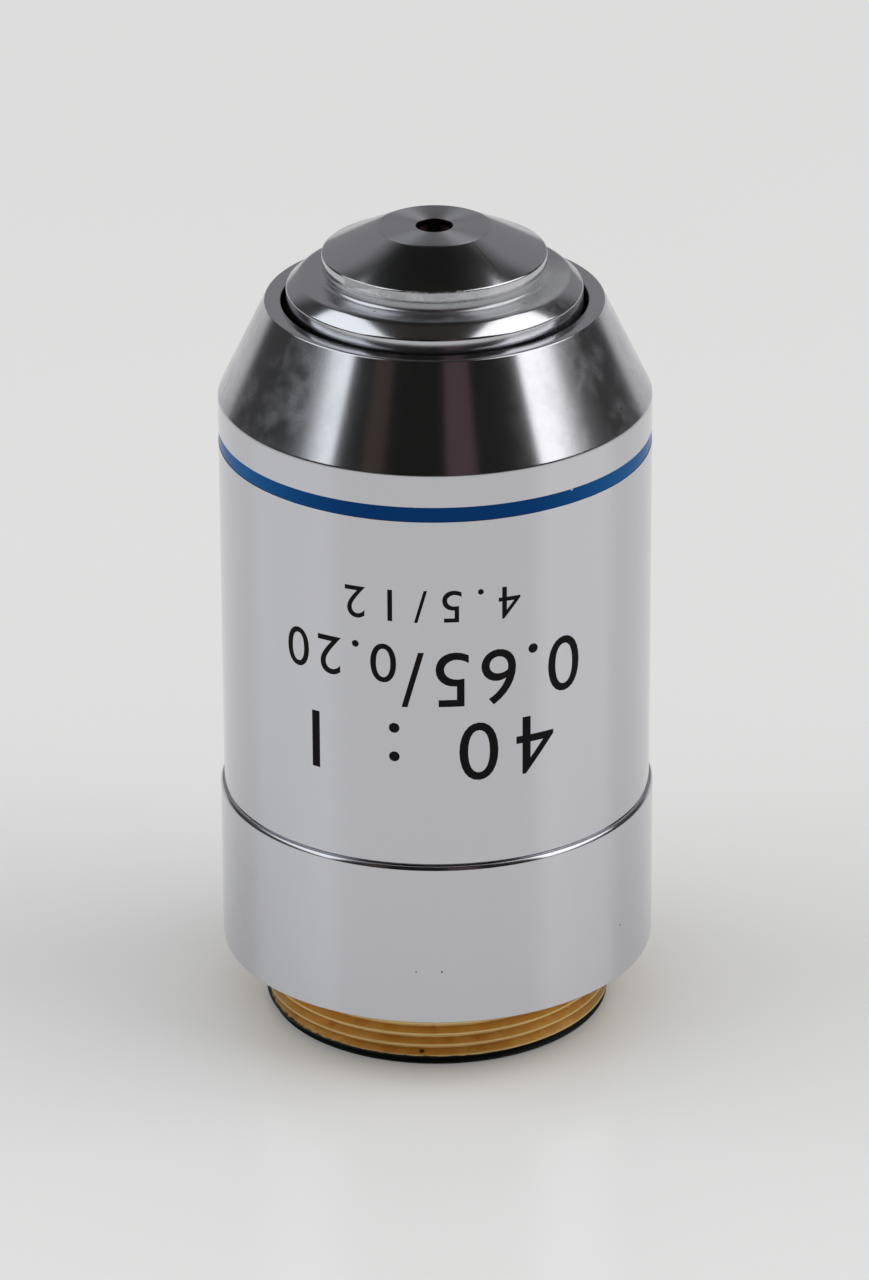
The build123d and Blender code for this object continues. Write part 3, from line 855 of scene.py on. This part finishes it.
class Bench:
    """The bench where pieces are turned, cut and finished. Everything on it is in millimetres."""

    @staticmethod
    def clear() -> None:
        """Leaves edit mode and deselects everything."""
        if bpy.context.object and bpy.context.object.mode != "OBJECT":
            bpy.ops.object.mode_set(mode="OBJECT")
        bpy.ops.object.select_all(action="DESELECT")

    @staticmethod
    def pick(piece: Object) -> None:
        """Makes a piece the only selected and the active one.

        Args:
            piece: The piece to work on.
        """
        Bench.clear()
        piece.select_set(True)
        bpy.context.view_layer.objects.active = piece

    @staticmethod
    def select_at(piece: Object, places: Iterable[Vector]) -> int:
        """Selects the vertices at given places, in edit mode.

        Args:
            piece: The piece in edit mode.
            places: The places, in millimetres.

        Returns:
            How many vertices were selected.
        """
        near = 1e-3
        targets = list(places)
        bpy.ops.mesh.select_all(action="DESELECT")
        mesh = bmesh.from_edit_mesh(piece.data)
        count = 0
        for vertex in mesh.verts:
            if any((vertex.co - target).length < near for target in targets):
                vertex.select_set(True)
                count += 1
        bmesh.update_edit_mesh(piece.data)
        return count

    @staticmethod
    def outline(name: str, corners: Sequence[Corner]) -> Object:
        """Draws a closed outline in the XZ plane and breaks its edges.

        Args:
            name: The new piece's name.
            corners: The outline's corners, in order.

        Returns:
            The piece, in edit mode, with the outline as bare edges.
        """
        Bench.clear()
        bpy.ops.mesh.primitive_plane_add(size=1.0)
        piece = bpy.context.object
        piece.name = piece.data.name = name
        Bench.open()
        bpy.ops.mesh.select_mode(type="VERT")
        bpy.ops.mesh.merge(type="CENTER")
        places = [Vector((corner[0], 0.0, corner[1])) for corner in corners]
        bpy.ops.transform.translate(value=places[0])
        for here, there in zip(places, places[1:]):
            bpy.ops.mesh.extrude_vertices_move(TRANSFORM_OT_translate={"value": there - here})
        bpy.ops.mesh.select_all(action="SELECT")
        bpy.ops.mesh.edge_face_add()
        for soft in sorted({corner[2] for corner in corners if len(corner) > 2}):
            broken = [p for p, corner in zip(places, corners) if len(corner) > 2 and corner[2] == soft]
            Bench.select_at(piece, broken)
            bpy.ops.mesh.bevel(offset=soft, segments=max(3, round(16 * soft)), affect="VERTICES")
        bpy.ops.mesh.select_all(action="SELECT")
        bpy.ops.mesh.delete(type="ONLY_FACE")
        return piece

    @staticmethod
    def turn(name: str, corners: Sequence[Corner]) -> Object:
        """Turns a closed outline about the optical axis.

        Args:
            name: The new piece's name.
            corners: The outline's corners, in order.

        Returns:
            The piece, in millimetres.
        """
        piece = Bench.outline(name, corners)
        on_axis = [Vector((0.0, 0.0, corner[1])) for corner in corners if corner[0] == 0.0]
        if len(on_axis) > 1:
            Bench.select_at(piece, on_axis)
            bpy.ops.mesh.select_mode(type="EDGE")
            bpy.ops.mesh.delete(type="EDGE")
            bpy.ops.mesh.select_mode(type="VERT")
        bpy.ops.mesh.select_all(action="SELECT")
        bpy.ops.mesh.spin(steps=STEPS, angle=FULL_TURN, center=(0, 0, 0), axis=(0, 0, 1))
        Bench.close()
        return piece

    @staticmethod
    def settle() -> None:
        """Moves the active object's placing and scale into its mesh."""
        bpy.ops.object.transform_apply(location=True, rotation=True, scale=True)

    @staticmethod
    def open() -> None:
        """Opens the active object for editing, with all of it selected."""
        bpy.ops.object.mode_set(mode="EDIT")
        bpy.ops.mesh.select_all(action="SELECT")

    @staticmethod
    def close() -> None:
        """Merges doubles, turns the faces outwards and leaves edit mode."""
        bpy.ops.mesh.select_all(action="SELECT")
        bpy.ops.mesh.remove_doubles(threshold=1e-4)
        bpy.ops.mesh.normals_make_consistent(inside=False)
        bpy.ops.object.mode_set(mode="OBJECT")

    @staticmethod
    def apply_modifier(piece: Object, kind: str, **settings: Any) -> None:
        """Adds a modifier to a piece and applies it.

        Args:
            piece: The piece.
            kind: The modifier's type.
            **settings: The modifier's properties.
        """
        Bench.pick(piece)
        modifier = piece.modifiers.new(kind.lower(), kind)
        for name, setting in settings.items():
            setattr(modifier, name, setting)
        bpy.ops.object.modifier_apply(modifier=modifier.name)

    @staticmethod
    def cut(piece: Object, tool: Object) -> None:
        """Cuts a closed tool's shape out of a piece and removes the tool."""
        Bench.apply_modifier(piece, "BOOLEAN", operation="DIFFERENCE", solver="EXACT", object=tool)
        bpy.data.objects.remove(tool)

    @staticmethod
    def drill(radius: float, start: float, end: float, height: float, angle: float) -> Object:
        """A round cutter that points outward from the axis.

        Args:
            radius: The hole's radius.
            start: Distance from the axis to its inner end.
            end: Distance from the axis to its outer end.
            height: Its height over the rear face.
            angle: Its direction about the axis, from +X.

        Returns:
            The cutter.
        """
        Bench.clear()
        middle = (start + end) / 2
        bpy.ops.mesh.primitive_cylinder_add(
            vertices=48,
            radius=radius,
            depth=end - start,
            location=(middle * math.cos(angle), middle * math.sin(angle), height),
            rotation=(0, math.pi / 2, angle),
        )
        tool = bpy.context.object
        Bench.settle()
        return tool

    @staticmethod
    def block(size: Sequence[float], centre: Sequence[float]) -> Object:
        """A rectangular cutter.

        Args:
            size: Its three sides.
            centre: Its middle.

        Returns:
            The cutter.
        """
        Bench.clear()
        bpy.ops.mesh.primitive_cube_add(size=1.0, location=centre, scale=size)
        tool = bpy.context.object
        Bench.settle()
        return tool

    @staticmethod
    def polish(piece: Object) -> None:
        """Gives a piece its smooth shading and its size in metres.

        Args:
            piece: The piece, in millimetres.
        """
        Bench.pick(piece)
        piece.scale = (MM, MM, MM)
        Bench.settle()
        bpy.ops.object.shade_smooth_by_angle(angle=SMOOTH_ANGLE)
        Bench.apply_modifier(piece, "WEIGHTED_NORMAL", mode="FACE_AREA", keep_sharp=True)


@dataclass(frozen=True)
class Span:
    """What a node's box says of a turned piece, in millimetres."""

    radius: float
    bottom: float
    top: float

    @classmethod
    def of(cls, node: str) -> Span:
        """Reads a node's box.

        Args:
            node: The node's name.

        Returns:
            Its outer radius and its two ends.
        """
        low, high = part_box(node)
        radius = max(high.x, high.y, -low.x, -low.y)
        return cls(*(round(length / MM, 4) for length in (radius, low.z, high.z)))


class Assembly:
    """What the two halves share: how a finished piece is handed over."""

    body: Body

    def hand_over(self, piece: Object, material: Material, slot: Slot, *nodes: str) -> Object:
        """Polishes a piece, dresses it and lets it ride with its half.

        Args:
            piece: The piece, in millimetres.
            material: Its finish.
            slot: The record's slot for that finish; not used.
            *nodes: The nodes that it stands for.

        Returns:
            The piece.
        """
        Bench.polish(piece)
        piece.data.materials.clear()
        piece.data.materials.append(material)
        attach(piece, self.body.value)
        if nodes:
            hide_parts(*nodes)
        LOG.info("%s: %d faces, rides on %s", piece.name, len(piece.data.polygons), self.body.value)
        return piece

    @staticmethod
    def dress(node: str, material: Material) -> None:
        """Gives a node that stays its material.

        Args:
            node: The node's name.
            material: Its finish.
        """
        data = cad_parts[node].data
        data.materials.clear()
        data.materials.append(material)
        LOG.info("%s: dressed as %s", node, material.name)


@dataclass
class MountHalf(Assembly):
    """The fixed half, from the nosepiece thread to the sleeve's rim. Sizes are in millimetres."""

    counterbore_r: float = 8.8
    counterbore_depth: float = 8.2
    thread_r: float = 10.12
    thread_length: float = 4.1
    lead_width: float = 0.26
    lead_height: float = 0.34
    relief_width: float = 0.6
    relief_depth: float = 0.5
    flange_thickness: float = 2.0
    flange_step: float = 0.7
    housing_wall: float = 0.92
    pocket_z: float = 10.2
    guide_r: float = 8.48
    guide_bore_r: float = 7.63
    guide_screw_r: float = 0.63
    guide_screw_z: float = 9.2
    slip: float = 0.03
    edge: float = 0.12
    burr: float = 0.05
    barrel_lip: float = 1.5
    barrel_relief: float = 0.5
    barrel_chamfer: float = 0.2
    barrel_chamfer_width: float = 0.1
    seam_groove: float = 0.12
    sleeve_wall: float = 1.5
    sleeve_relief: float = 0.62
    cone_z: float = 38.24
    rim_r: float = 9.67
    rim_bore_r: float = 8.745
    rim_land: float = 1.8
    band_depth: float = 0.15
    band_crown: float = 0.01
    runout: float = 0.6
    wire_r: float = 0.4
    coil_r: float = 9.23
    coils: int = 7
    body: Body = Body.MOUNT

    def __post_init__(self) -> None:
        """Reads the pieces' outer sizes from the frame."""
        self.mount = Span.of("mount_body")
        self.barrel = Span.of("lower_barrel")
        self.sleeve = Span.of("outer_sleeve")
        self.band = Span.of("colour_band")
        self.spring = Span.of("retraction_spring")
        self.housing_r = self.mount.radius - self.flange_step
        self.flange_z = self.thread_length + self.flange_thickness

    def mount_body(self) -> Object:
        """The brass body with its helical thread and the hole of the guide screw."""
        pocket_r = self.housing_r - self.housing_wall
        relief_r = self.thread_r - self.relief_depth
        relief_z = self.thread_length - self.relief_width
        piece = Bench.turn("mount_body_turned", [
            (self.counterbore_r, 0, 0.1),
            (self.thread_r - self.lead_width, 0, 0.03),
            (self.thread_r, self.lead_height, self.burr),
            (self.thread_r, relief_z),
            (relief_r, relief_z + self.edge),
            (relief_r, self.thread_length),
            (self.mount.radius, self.thread_length, self.burr),
            (self.mount.radius, self.flange_z, self.burr),
            (self.housing_r, self.flange_z),
            (self.housing_r, self.mount.top, self.edge),
            (pocket_r, self.mount.top, self.burr),
            (pocket_r, self.pocket_z, 0.2),
            (self.guide_r, self.pocket_z, 0.2),
            (self.guide_r, self.mount.top, self.burr),
            (self.guide_bore_r, self.mount.top, self.burr),
            (self.guide_bore_r, self.counterbore_depth, self.burr),
            (self.counterbore_r, self.counterbore_depth),
        ])
        Bench.cut(piece, ThreadGroove().cutter())
        inner, outer = self.guide_bore_r - 1, self.mount.radius + 1
        Bench.cut(piece, Bench.drill(self.guide_screw_r, inner, outer, self.guide_screw_z, 0))
        return piece

    def lower_barrel(self) -> Object:
        """The chromed ring between the nosepiece shoulder and the sleeve."""
        barrel = self.barrel
        bore = self.housing_r + self.slip
        clear_bore = self.housing_r + self.barrel_relief
        lip_top = self.flange_z + self.barrel_lip
        return Bench.turn("lower_barrel_turned", [
            (self.mount.radius + self.slip, barrel.bottom, self.burr),
            (barrel.radius, barrel.bottom, self.edge),
            (barrel.radius, barrel.top - self.barrel_chamfer, 0.03),
            (barrel.radius - self.barrel_chamfer_width, barrel.top - 0.02, 0.02),
            (self.sleeve.radius - self.seam_groove, barrel.top),
            (clear_bore, barrel.top, self.burr),
            (clear_bore, lip_top + self.barrel_relief, 0.1),
            (bore, lip_top, self.burr),
            (bore, self.flange_z),
            (self.mount.radius + self.slip, self.flange_z),
        ])

    def outer_sleeve(self) -> Object:
        """The chromed casing with its cone, its rim and the groove of the band."""
        sleeve = self.sleeve
        groove_r = sleeve.radius - self.band_depth
        thread_bore = sleeve.radius - self.sleeve_wall
        clear_bore = thread_bore + self.sleeve_relief
        slope = (sleeve.top - self.cone_z) / (sleeve.radius - self.rim_r)
        land_z = sleeve.top - self.rim_land
        thread_end = self.mount.top + self.runout
        return Bench.turn("outer_sleeve_turned", [
            (thread_bore, sleeve.bottom, self.burr),
            (sleeve.radius - self.seam_groove, sleeve.bottom),
            (sleeve.radius, sleeve.bottom + self.seam_groove, 0.02),
            (sleeve.radius, self.band.bottom, 0.015),
            (groove_r, self.band.bottom),
            (groove_r, self.band.top),
            (sleeve.radius, self.band.top, 0.015),
            (sleeve.radius, self.cone_z, 0.1),
            (self.rim_r, sleeve.top, 0.08),
            (self.rim_bore_r, sleeve.top, self.edge),
            (self.rim_bore_r, land_z),
            (clear_bore, land_z - (clear_bore - self.rim_bore_r) * slope, 0.3),
            (clear_bore, thread_end + self.sleeve_relief),
            (thread_bore, thread_end),
        ])

    def colour_band(self) -> Object:
        """The enamel in the sleeve's groove, slightly crowned."""
        groove_r = self.sleeve.radius - self.band_depth
        middle = (self.band.bottom + self.band.top) / 2
        edge_r = self.band.radius - self.band_crown
        return Bench.turn("colour_band_enamel", [
            (groove_r, self.band.bottom),
            (edge_r, self.band.bottom, 0.02),
            (self.band.radius, middle, 0.3),
            (edge_r, self.band.top, 0.02),
            (groove_r, self.band.top),
        ])

    def retraction_spring(self) -> Object:
        """The coil spring, its ends ground flat."""
        height = self.spring.top - self.spring.bottom
        length = height + 2 * self.wire_r
        Bench.clear()
        bpy.ops.mesh.primitive_circle_add(
            vertices=16,
            radius=self.wire_r,
            location=(self.coil_r, 0, self.spring.bottom - self.wire_r),
            rotation=(math.pi / 2, 0, 0),
        )
        piece = bpy.context.object
        piece.name = piece.data.name = "retraction_spring_wound"
        Bench.settle()
        around = length / (height / self.coils)
        steps = round(72 * around)
        Bench.apply_modifier(
            piece, "SCREW", angle=FULL_TURN * around, screw_offset=length, steps=steps, render_steps=steps
        )
        Bench.open()
        for level, side in ((self.spring.bottom, -1), (self.spring.top, 1)):
            bpy.ops.mesh.select_all(action="SELECT")
            bpy.ops.mesh.bisect(
                plane_co=(0, 0, level), plane_no=(0, 0, side), use_fill=True, clear_outer=True
            )
        Bench.close()
        return piece

    def build(self, finishes: dict[Slot, Material]) -> None:
        """Builds and dresses the half.

        Args:
            finishes: The material for each slot.
        """
        self.hand_over(self.mount_body(), finishes[Slot.BRASS], Slot.BRASS, "mount_body")
        barrel_chrome = Chrome("barrel_chrome", marks=(
            (-5.6, 12.64, 7.4, 0.05), (1.1, 12.64, 7.43, 0.06), (57.0, 12.64, 7.48, 0.07),
        ))
        self.hand_over(self.lower_barrel(), barrel_chrome.material(), Slot.CHROME, "lower_barrel")
        sleeve_chrome = SleeveChrome("sleeve_chrome", marks=((62.0, 11.9, 39.4, 0.07),))
        self.hand_over(self.outer_sleeve(), sleeve_chrome.material(), Slot.CHROME, "outer_sleeve")
        self.hand_over(self.colour_band(), finishes[Slot.ENAMEL], Slot.ENAMEL, "colour_band")
        spring = self.retraction_spring()
        self.hand_over(spring, finishes[Slot.STEEL], Slot.STEEL, "retraction_spring")
        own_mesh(spring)
        for node in ("parfocal_shim", "guide_screw"):
            self.dress(node, finishes[Slot.STEEL])


@dataclass
class ThreadGroove:
    """The groove of the nosepiece thread, right-hand, 36 turns to the inch. Sizes are in millimetres."""

    pitch: float = 25.4 / 36
    root_r: float = 9.668
    root_half: float = 0.05
    outer_r: float = 10.22
    outer_half: float = 0.345
    start_z: float = -0.94
    turns: int = 7

    def cutter(self) -> Object:
        """The groove as a closed helical solid."""
        z = self.start_z
        piece = Bench.outline("thread_groove", [
            (self.root_r, z - self.root_half),
            (self.outer_r, z - self.outer_half),
            (self.outer_r, z + self.outer_half),
            (self.root_r, z + self.root_half),
        ])
        steps = 128
        Bench.apply_modifier(
            piece, "SCREW", screw_offset=self.pitch, iterations=self.turns, steps=steps, render_steps=steps
        )
        Bench.open()
        bpy.ops.mesh.remove_doubles(threshold=1e-5)
        bpy.ops.mesh.fill_holes(sides=4)
        Bench.close()
        return piece


@dataclass
class LensHalf(Assembly):
    """The sliding half: the lens tube, its nose cap and its lens train. Sizes are in millimetres."""

    tube_bore_r: float = 6.5
    tube_r: float = 7.6
    neck_r: float = 7.2
    stop_top: float = 8.0
    collar_z: float = 23.49
    collar_thickness: float = 1.5
    head_r: float = 8.465
    head_chamfer_width: float = 0.845
    head_chamfer_height: float = 0.75
    boss_r: float = 6.31
    boss_height: float = 0.65
    foot: float = 0.3
    front_bore_r: float = 5.44
    cell_shoulder_z: float = 43.2
    slot_half: float = 0.7
    slot_floor: float = 6.8
    slot_z: float = 9.2
    screw_hole_r: float = 0.83
    tip_r: float = 3.2
    tip_hole_r: float = 1.03
    tip_wall: float = 0.37
    cone_height: float = 1.56
    spigot_r: float = 5.41
    ring_bore_r: float = 4.21
    pocket_r: float = 2.63
    pocket_depth: float = 2.0
    lens_bevel: float = 0.5
    edge: float = 0.12
    burr: float = 0.05
    body: Body = Body.LENS_UNIT

    def __post_init__(self) -> None:
        """Reads the pieces' outer sizes from the frame."""
        self.tube = Span.of("lens_tube")
        self.cap = Span.of("nose_cap")

    def lens_tube(self) -> Object:
        """The sliding tube with its stepped head, the guide slot and the holes of the centring screws."""
        collar_top = self.collar_z + self.collar_thickness
        head_top = self.tube.top - self.boss_height
        piece = Bench.turn("lens_tube_turned", [
            (self.tube_bore_r, self.tube.bottom, self.burr),
            (self.neck_r, self.tube.bottom, self.burr),
            (self.neck_r, self.stop_top),
            (self.tube_r, self.stop_top, self.burr),
            (self.tube_r, self.collar_z),
            (self.tube.radius, self.collar_z, 0.08),
            (self.tube.radius, collar_top, 0.08),
            (self.head_r, collar_top),
            (self.head_r, head_top - self.head_chamfer_height, 0.1),
            (self.head_r - self.head_chamfer_width, head_top, 0.25),
            (self.boss_r, head_top, self.foot),
            (self.boss_r, self.tube.top, self.burr),
            (self.front_bore_r, self.tube.top, self.burr),
            (self.front_bore_r, self.cell_shoulder_z),
            (self.tube_bore_r, self.cell_shoulder_z),
        ])
        low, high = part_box("centring_screws")
        screw_z = (low.z + high.z) / 2 / MM
        for turn in range(3):
            angle = math.pi / 2 + FULL_TURN * turn / 3
            hole = Bench.drill(self.screw_hole_r, self.tube_bore_r - 1, self.head_r + 1, screw_z, angle)
            Bench.cut(piece, hole)
        reach = self.tube_r + 1
        for slot_end in (self.slot_z, self.slot_z + TRAVEL):
            Bench.cut(piece, Bench.drill(self.slot_half, self.slot_floor, reach, slot_end, 0))
        middle = ((self.slot_floor + reach) / 2, 0, self.slot_z + TRAVEL / 2)
        Bench.cut(piece, Bench.block((reach - self.slot_floor, 2 * self.slot_half, TRAVEL), middle))
        return piece

    def nose_cap(self) -> Object:
        """The conical cap that carries the front lens."""
        cap = self.cap
        seat_z = self.tube.top
        roof = cap.top - self.tip_wall
        pocket_z = roof - self.pocket_depth
        return Bench.turn("nose_cap_turned", [
            (self.tip_hole_r, cap.top, 0.06),
            (self.tip_r, cap.top, self.burr),
            (cap.radius, cap.top - self.cone_height, 0.08),
            (cap.radius, seat_z, 0.06),
            (self.spigot_r, seat_z),
            (self.spigot_r, cap.bottom, self.burr),
            (self.ring_bore_r, cap.bottom, self.burr),
            (self.ring_bore_r, pocket_z),
            (self.pocket_r, pocket_z, self.burr),
            (self.pocket_r, roof - self.lens_bevel),
            (self.pocket_r - self.lens_bevel, roof),
            (self.tip_hole_r, roof),
        ])

    def build(self, finishes: dict[Slot, Material]) -> None:
        """Builds and dresses the half.

        Args:
            finishes: The material for each slot.
        """
        self.hand_over(self.lens_tube(), HeadChrome("head_chrome").material(), Slot.CHROME, "lens_tube")
        self.hand_over(self.nose_cap(), CapChrome("cap_chrome").material(), Slot.CHROME, "nose_cap")
        for slot, nodes in LENS_NODES.items():
            for node in nodes:
                self.dress(node, finishes[slot])


LENS_NODES = {
    Slot.BRASS: ("stop_ring",),
    Slot.STEEL: ("centring_screws",),
    Slot.BLACK: (
        "front_lens_ring", "second_lens_cell", "second_lens_ring", "doublet_a_cell", "doublet_a_ring",
        "doublet_b_cell", "doublet_b_ring", "rear_doublet_cell", "rear_doublet_ring", "long_spacer",
        "pupil_stop", "train_ring",
    ),
    Slot.GLASS: (
        "front_lens", "second_lens", "doublet_a_crown", "doublet_a_flint", "doublet_b_flint",
        "doublet_b_crown", "rear_doublet_crown", "rear_doublet_flint",
    ),
}


@dataclass(frozen=True)
class Line:
    """One line of numbers. Heights and lengths are in millimetres, lengths along the sleeve."""

    text: str
    cap_height: float
    start: float
    end: float
    baseline: float


@dataclass
class Marks(Assembly):
    """The numbers on the sleeve, which read the right way up when the objective hangs in its nosepiece."""

    lines: tuple[Line, ...] = (
        Line("40 : 1", 3.75, -6.99, 7.5, 22.97),
        Line("0.65/", 3.54, -8.77, 1.98, 27.4),
        Line("0.20", 2.5, 2.27, 9.18, 27.85),
        Line("4.5/12", 2.05, -4.86, 5.27, 31.23),
    )
    proud: float = 0.006
    sunk: float = 0.03
    strip: float = 0.3
    cap_share: float = 0.73      # of the font's size
    body: Body = Body.MOUNT

    @staticmethod
    def width(piece: Object, spacing: float) -> float:
        """Measures a text.

        Args:
            piece: The text object.
            spacing: The spacing of its characters to measure it at.

        Returns:
            Its width over the strokes.
        """
        piece.data.space_character = spacing
        bpy.context.view_layer.update()
        across = [corner[0] for corner in piece.bound_box]
        return max(across) - min(across)

    def line(self, line: Line, radius: float) -> Object:
        """Letters one line and wraps it round the sleeve, upside down.

        Args:
            line: What it says and where.
            radius: The sleeve's radius.

        Returns:
            The line's strokes.
        """
        Bench.clear()
        bpy.ops.object.text_add()
        piece = bpy.context.object
        letters = piece.data
        letters.body = line.text
        letters.size = line.cap_height / self.cap_share
        letters.resolution_u = 6
        widths = [self.width(piece, spacing) for spacing in (1.0, 2.0)]
        wanted = line.end - line.start
        letters.space_character = 1 + (wanted - widths[0]) / (widths[1] - widths[0])
        letters.extrude = (self.proud + self.sunk) / 2
        bpy.ops.object.convert(target="MESH")
        Bench.open()
        bpy.ops.mesh.remove_doubles(threshold=1e-4)
        places = [vertex.co.x for vertex in bmesh.from_edit_mesh(piece.data).verts]
        low, high = min(places), max(places)
        for cut in range(1, math.ceil((high - low) / self.strip)):
            bpy.ops.mesh.select_all(action="SELECT")
            bpy.ops.mesh.bisect(plane_co=(low + cut * self.strip, 0, 0), plane_no=(1, 0, 0))
        Bench.close()
        middle_r = radius + (self.proud - self.sunk) / 2
        for vertex in piece.data.vertices:
            angle = -(line.start + vertex.co.x - low) / radius
            out = middle_r + vertex.co.z
            vertex.co = (
                out * math.sin(angle), -out * math.cos(angle), line.baseline - vertex.co.y
            )
        return piece

    def build(self, finishes: dict[Slot, Material]) -> None:
        """Letters all lines and joins them.

        Args:
            finishes: The material for each slot; not used.
        """
        radius = Span.of("outer_sleeve").radius
        pieces = [self.line(line, radius) for line in self.lines]
        Bench.clear()
        for piece in pieces:
            piece.select_set(True)
        bpy.context.view_layer.objects.active = pieces[0]
        bpy.ops.object.join()
        joined = bpy.context.object
        joined.name = joined.data.name = "sleeve_numbers"
        Bench.open()
        Bench.close()
        self.hand_over(joined, Ink("number_filler").material(), Slot.BLACK)


# The studio


def direction(azimuth: float, elevation: float) -> Vector:
    """A unit vector, from degrees off the camera's side towards +X and above the table."""
    a, e = math.radians(azimuth), math.radians(elevation)
    return Vector((math.sin(a) * math.cos(e), -math.cos(a) * math.cos(e), math.sin(e)))


@dataclass(frozen=True)
class Window:
    """A soft light. Its place and size are given as it looks from the objective's head, in degrees."""

    name: str
    azimuth: float
    elevation: float
    width: float
    height: float
    radiance: float
    colour: Colour = (1.0, 1.0, 1.0)
    distance: float = 1.2
    head_z: float = 0.042

    def hang(self) -> None:
        """Adds the lamp."""
        toward = direction(self.azimuth, self.elevation)
        head = Vector((0.0, 0.0, self.head_z))
        Bench.clear()
        bpy.ops.object.light_add(type="AREA", location=head + toward * self.distance)
        lamp = bpy.context.object
        lamp.name = self.name
        lamp.rotation_euler = toward.to_track_quat("Z", "Y").to_euler()
        halves = (math.radians(angle) / 2 for angle in (self.width, self.height))
        width, height = (2 * self.distance * math.tan(half) for half in halves)
        lamp.data.shape = "RECTANGLE"
        lamp.data.size = width
        lamp.data.size_y = height
        lamp.data.color = self.colour
        lamp.data.energy = self.radiance * math.pi * width * height
        lamp.visible_camera = False
        LOG.info("%s: %.2f m by %.2f m", self.name, width, height)


@dataclass(frozen=True)
class Patch:
    """A soft-edged part of the room that reflections show. Its bounds are in degrees."""

    azimuth: tuple[float, float]
    elevation: tuple[float, float]
    softness: tuple[float, float]
    colour: Colour

    def seen(self, azimuth: Value, elevation: Value) -> Value:
        """1 in the patch and 0 outside it."""
        across, up = self.softness
        return azimuth.within(*self.azimuth, across) * elevation.within(*self.elevation, up)


@dataclass
class Studio:
    """The room, its windows, the table and the camera."""

    windows: tuple[Window, ...] = (
        Window("window_left", -83.5, 40.5, 52.0, 41.0, 1.4, (0.93, 0.97, 1.0)),
        Window("window_right", 81.5, 41.4, 47.0, 48.8, 1.7),
    )
    patches: tuple[Patch, ...] = (
        Patch((-40.0, -28.0), (8.0, 44.0), (4.0, 8.0), (0.06, 0.042, 0.036)),
        Patch((6.0, 22.5), (8.0, 44.0), (2.0, 8.0), (0.09, 0.058, 0.066)),
    )
    overhead: tuple[float, float] = (42.0, 60.0)     # elevations where the ceiling begins and is full
    dark: Colour = (0.012, 0.0125, 0.011)
    ceiling: Colour = (0.036, 0.031, 0.029)
    dim: Colour = (0.05, 0.05, 0.05)
    wall: Colour = (0.27, 0.27, 0.28)
    fill: float = 0.74
    backdrop: Colour = (0.68, 0.68, 0.68)
    table_side: float = 2.0
    eye: tuple[float, float, float] = (0.0, -0.3668, 0.1896)
    pitch: float = -24.48
    roll: float = -0.26
    lens: float = 195.1
    shift_x: float = -0.0013

    def room(self) -> None:
        """The world: an even light, but for reflections dark with a pale wall behind the object."""
        world = bpy.data.worlds.new("room")
        bpy.context.scene.world = world
        world.cycles.sampling_method = "NONE"
        graph = Graph(world)
        seen = Place.of(graph, graph.add("ShaderNodeTexCoord").outputs["Generated"])
        degree = 180 / math.pi
        azimuth = seen.angle * degree
        elevation = seen.z.arcsine() * degree
        ceiling = seen.y.step(0.15, -0.2) * elevation.step(*self.overhead)
        sides = abs(azimuth).step(80, 120) * elevation.step(50, 20)
        wall = abs(azimuth).step(128, 144) * elevation.step(58, 38)
        room = graph.blend(sides, graph.blend(ceiling, self.dark, self.ceiling), self.dim)
        for patch in self.patches:
            room = graph.blend(patch.seen(azimuth, elevation), room, patch.colour)
        room = graph.blend(wall, room, self.wall)
        path = graph.add("ShaderNodeLightPath")
        camera, glossy, through = (Value(graph, path.outputs[ray.value]) for ray in Ray)
        lit = graph.blend(glossy.most(through), (self.fill, self.fill, self.fill), room)
        shown = graph.blend(camera, lit, self.backdrop)
        light = graph.add("ShaderNodeBackground", inputs={"Color": shown, "Strength": 1.0})
        graph.finish(light.outputs[0], "ShaderNodeOutputWorld")

    def table(self) -> None:
        """The pale tabletop that the objective stands on."""
        Bench.clear()
        bpy.ops.mesh.primitive_plane_add(size=self.table_side)
        top = bpy.context.object
        top.name = "tabletop"
        top.data.materials.append(Tabletop("tabletop_laminate").material())

    def camera(self) -> None:
        """The camera at the picture's viewpoint."""
        Bench.clear()
        bpy.ops.object.camera_add(location=self.eye)
        camera = bpy.context.object
        aim = Matrix.Rotation(math.radians(90 + self.pitch), 3, "X")
        camera.rotation_euler = (aim @ Matrix.Rotation(math.radians(self.roll), 3, "Z")).to_euler()
        camera.data.lens = self.lens
        camera.data.sensor_width = 36.0
        camera.data.shift_x = self.shift_x
        camera.data.clip_start = 0.01
        bpy.context.scene.camera = camera

    def build(self) -> None:
        """Sets everything up."""
        self.camera()
        self.room()
        self.table()
        for window in self.windows:
            window.hang()
        bpy.context.scene.view_settings.view_transform = "Standard"


def main() -> None:
    """Builds the studio and dresses the objective."""
    logging.basicConfig(level=logging.INFO, format="%(name)s: %(message)s")
    finishes = {
        Slot.BRASS: Brass("turned_brass").material(),
        Slot.BLACK: Blackened("blackened_brass").material(),
        Slot.GLASS: Glass("coated_glass").material(),
        Slot.ENAMEL: Enamel("blue_enamel").material(),
        Slot.STEEL: Steel("bright_steel").material(),
    }
    Studio().build()
    MountHalf().build(finishes)
    LensHalf().build(finishes)
    Marks().build(finishes)


if __name__ == "__main__":
    main()
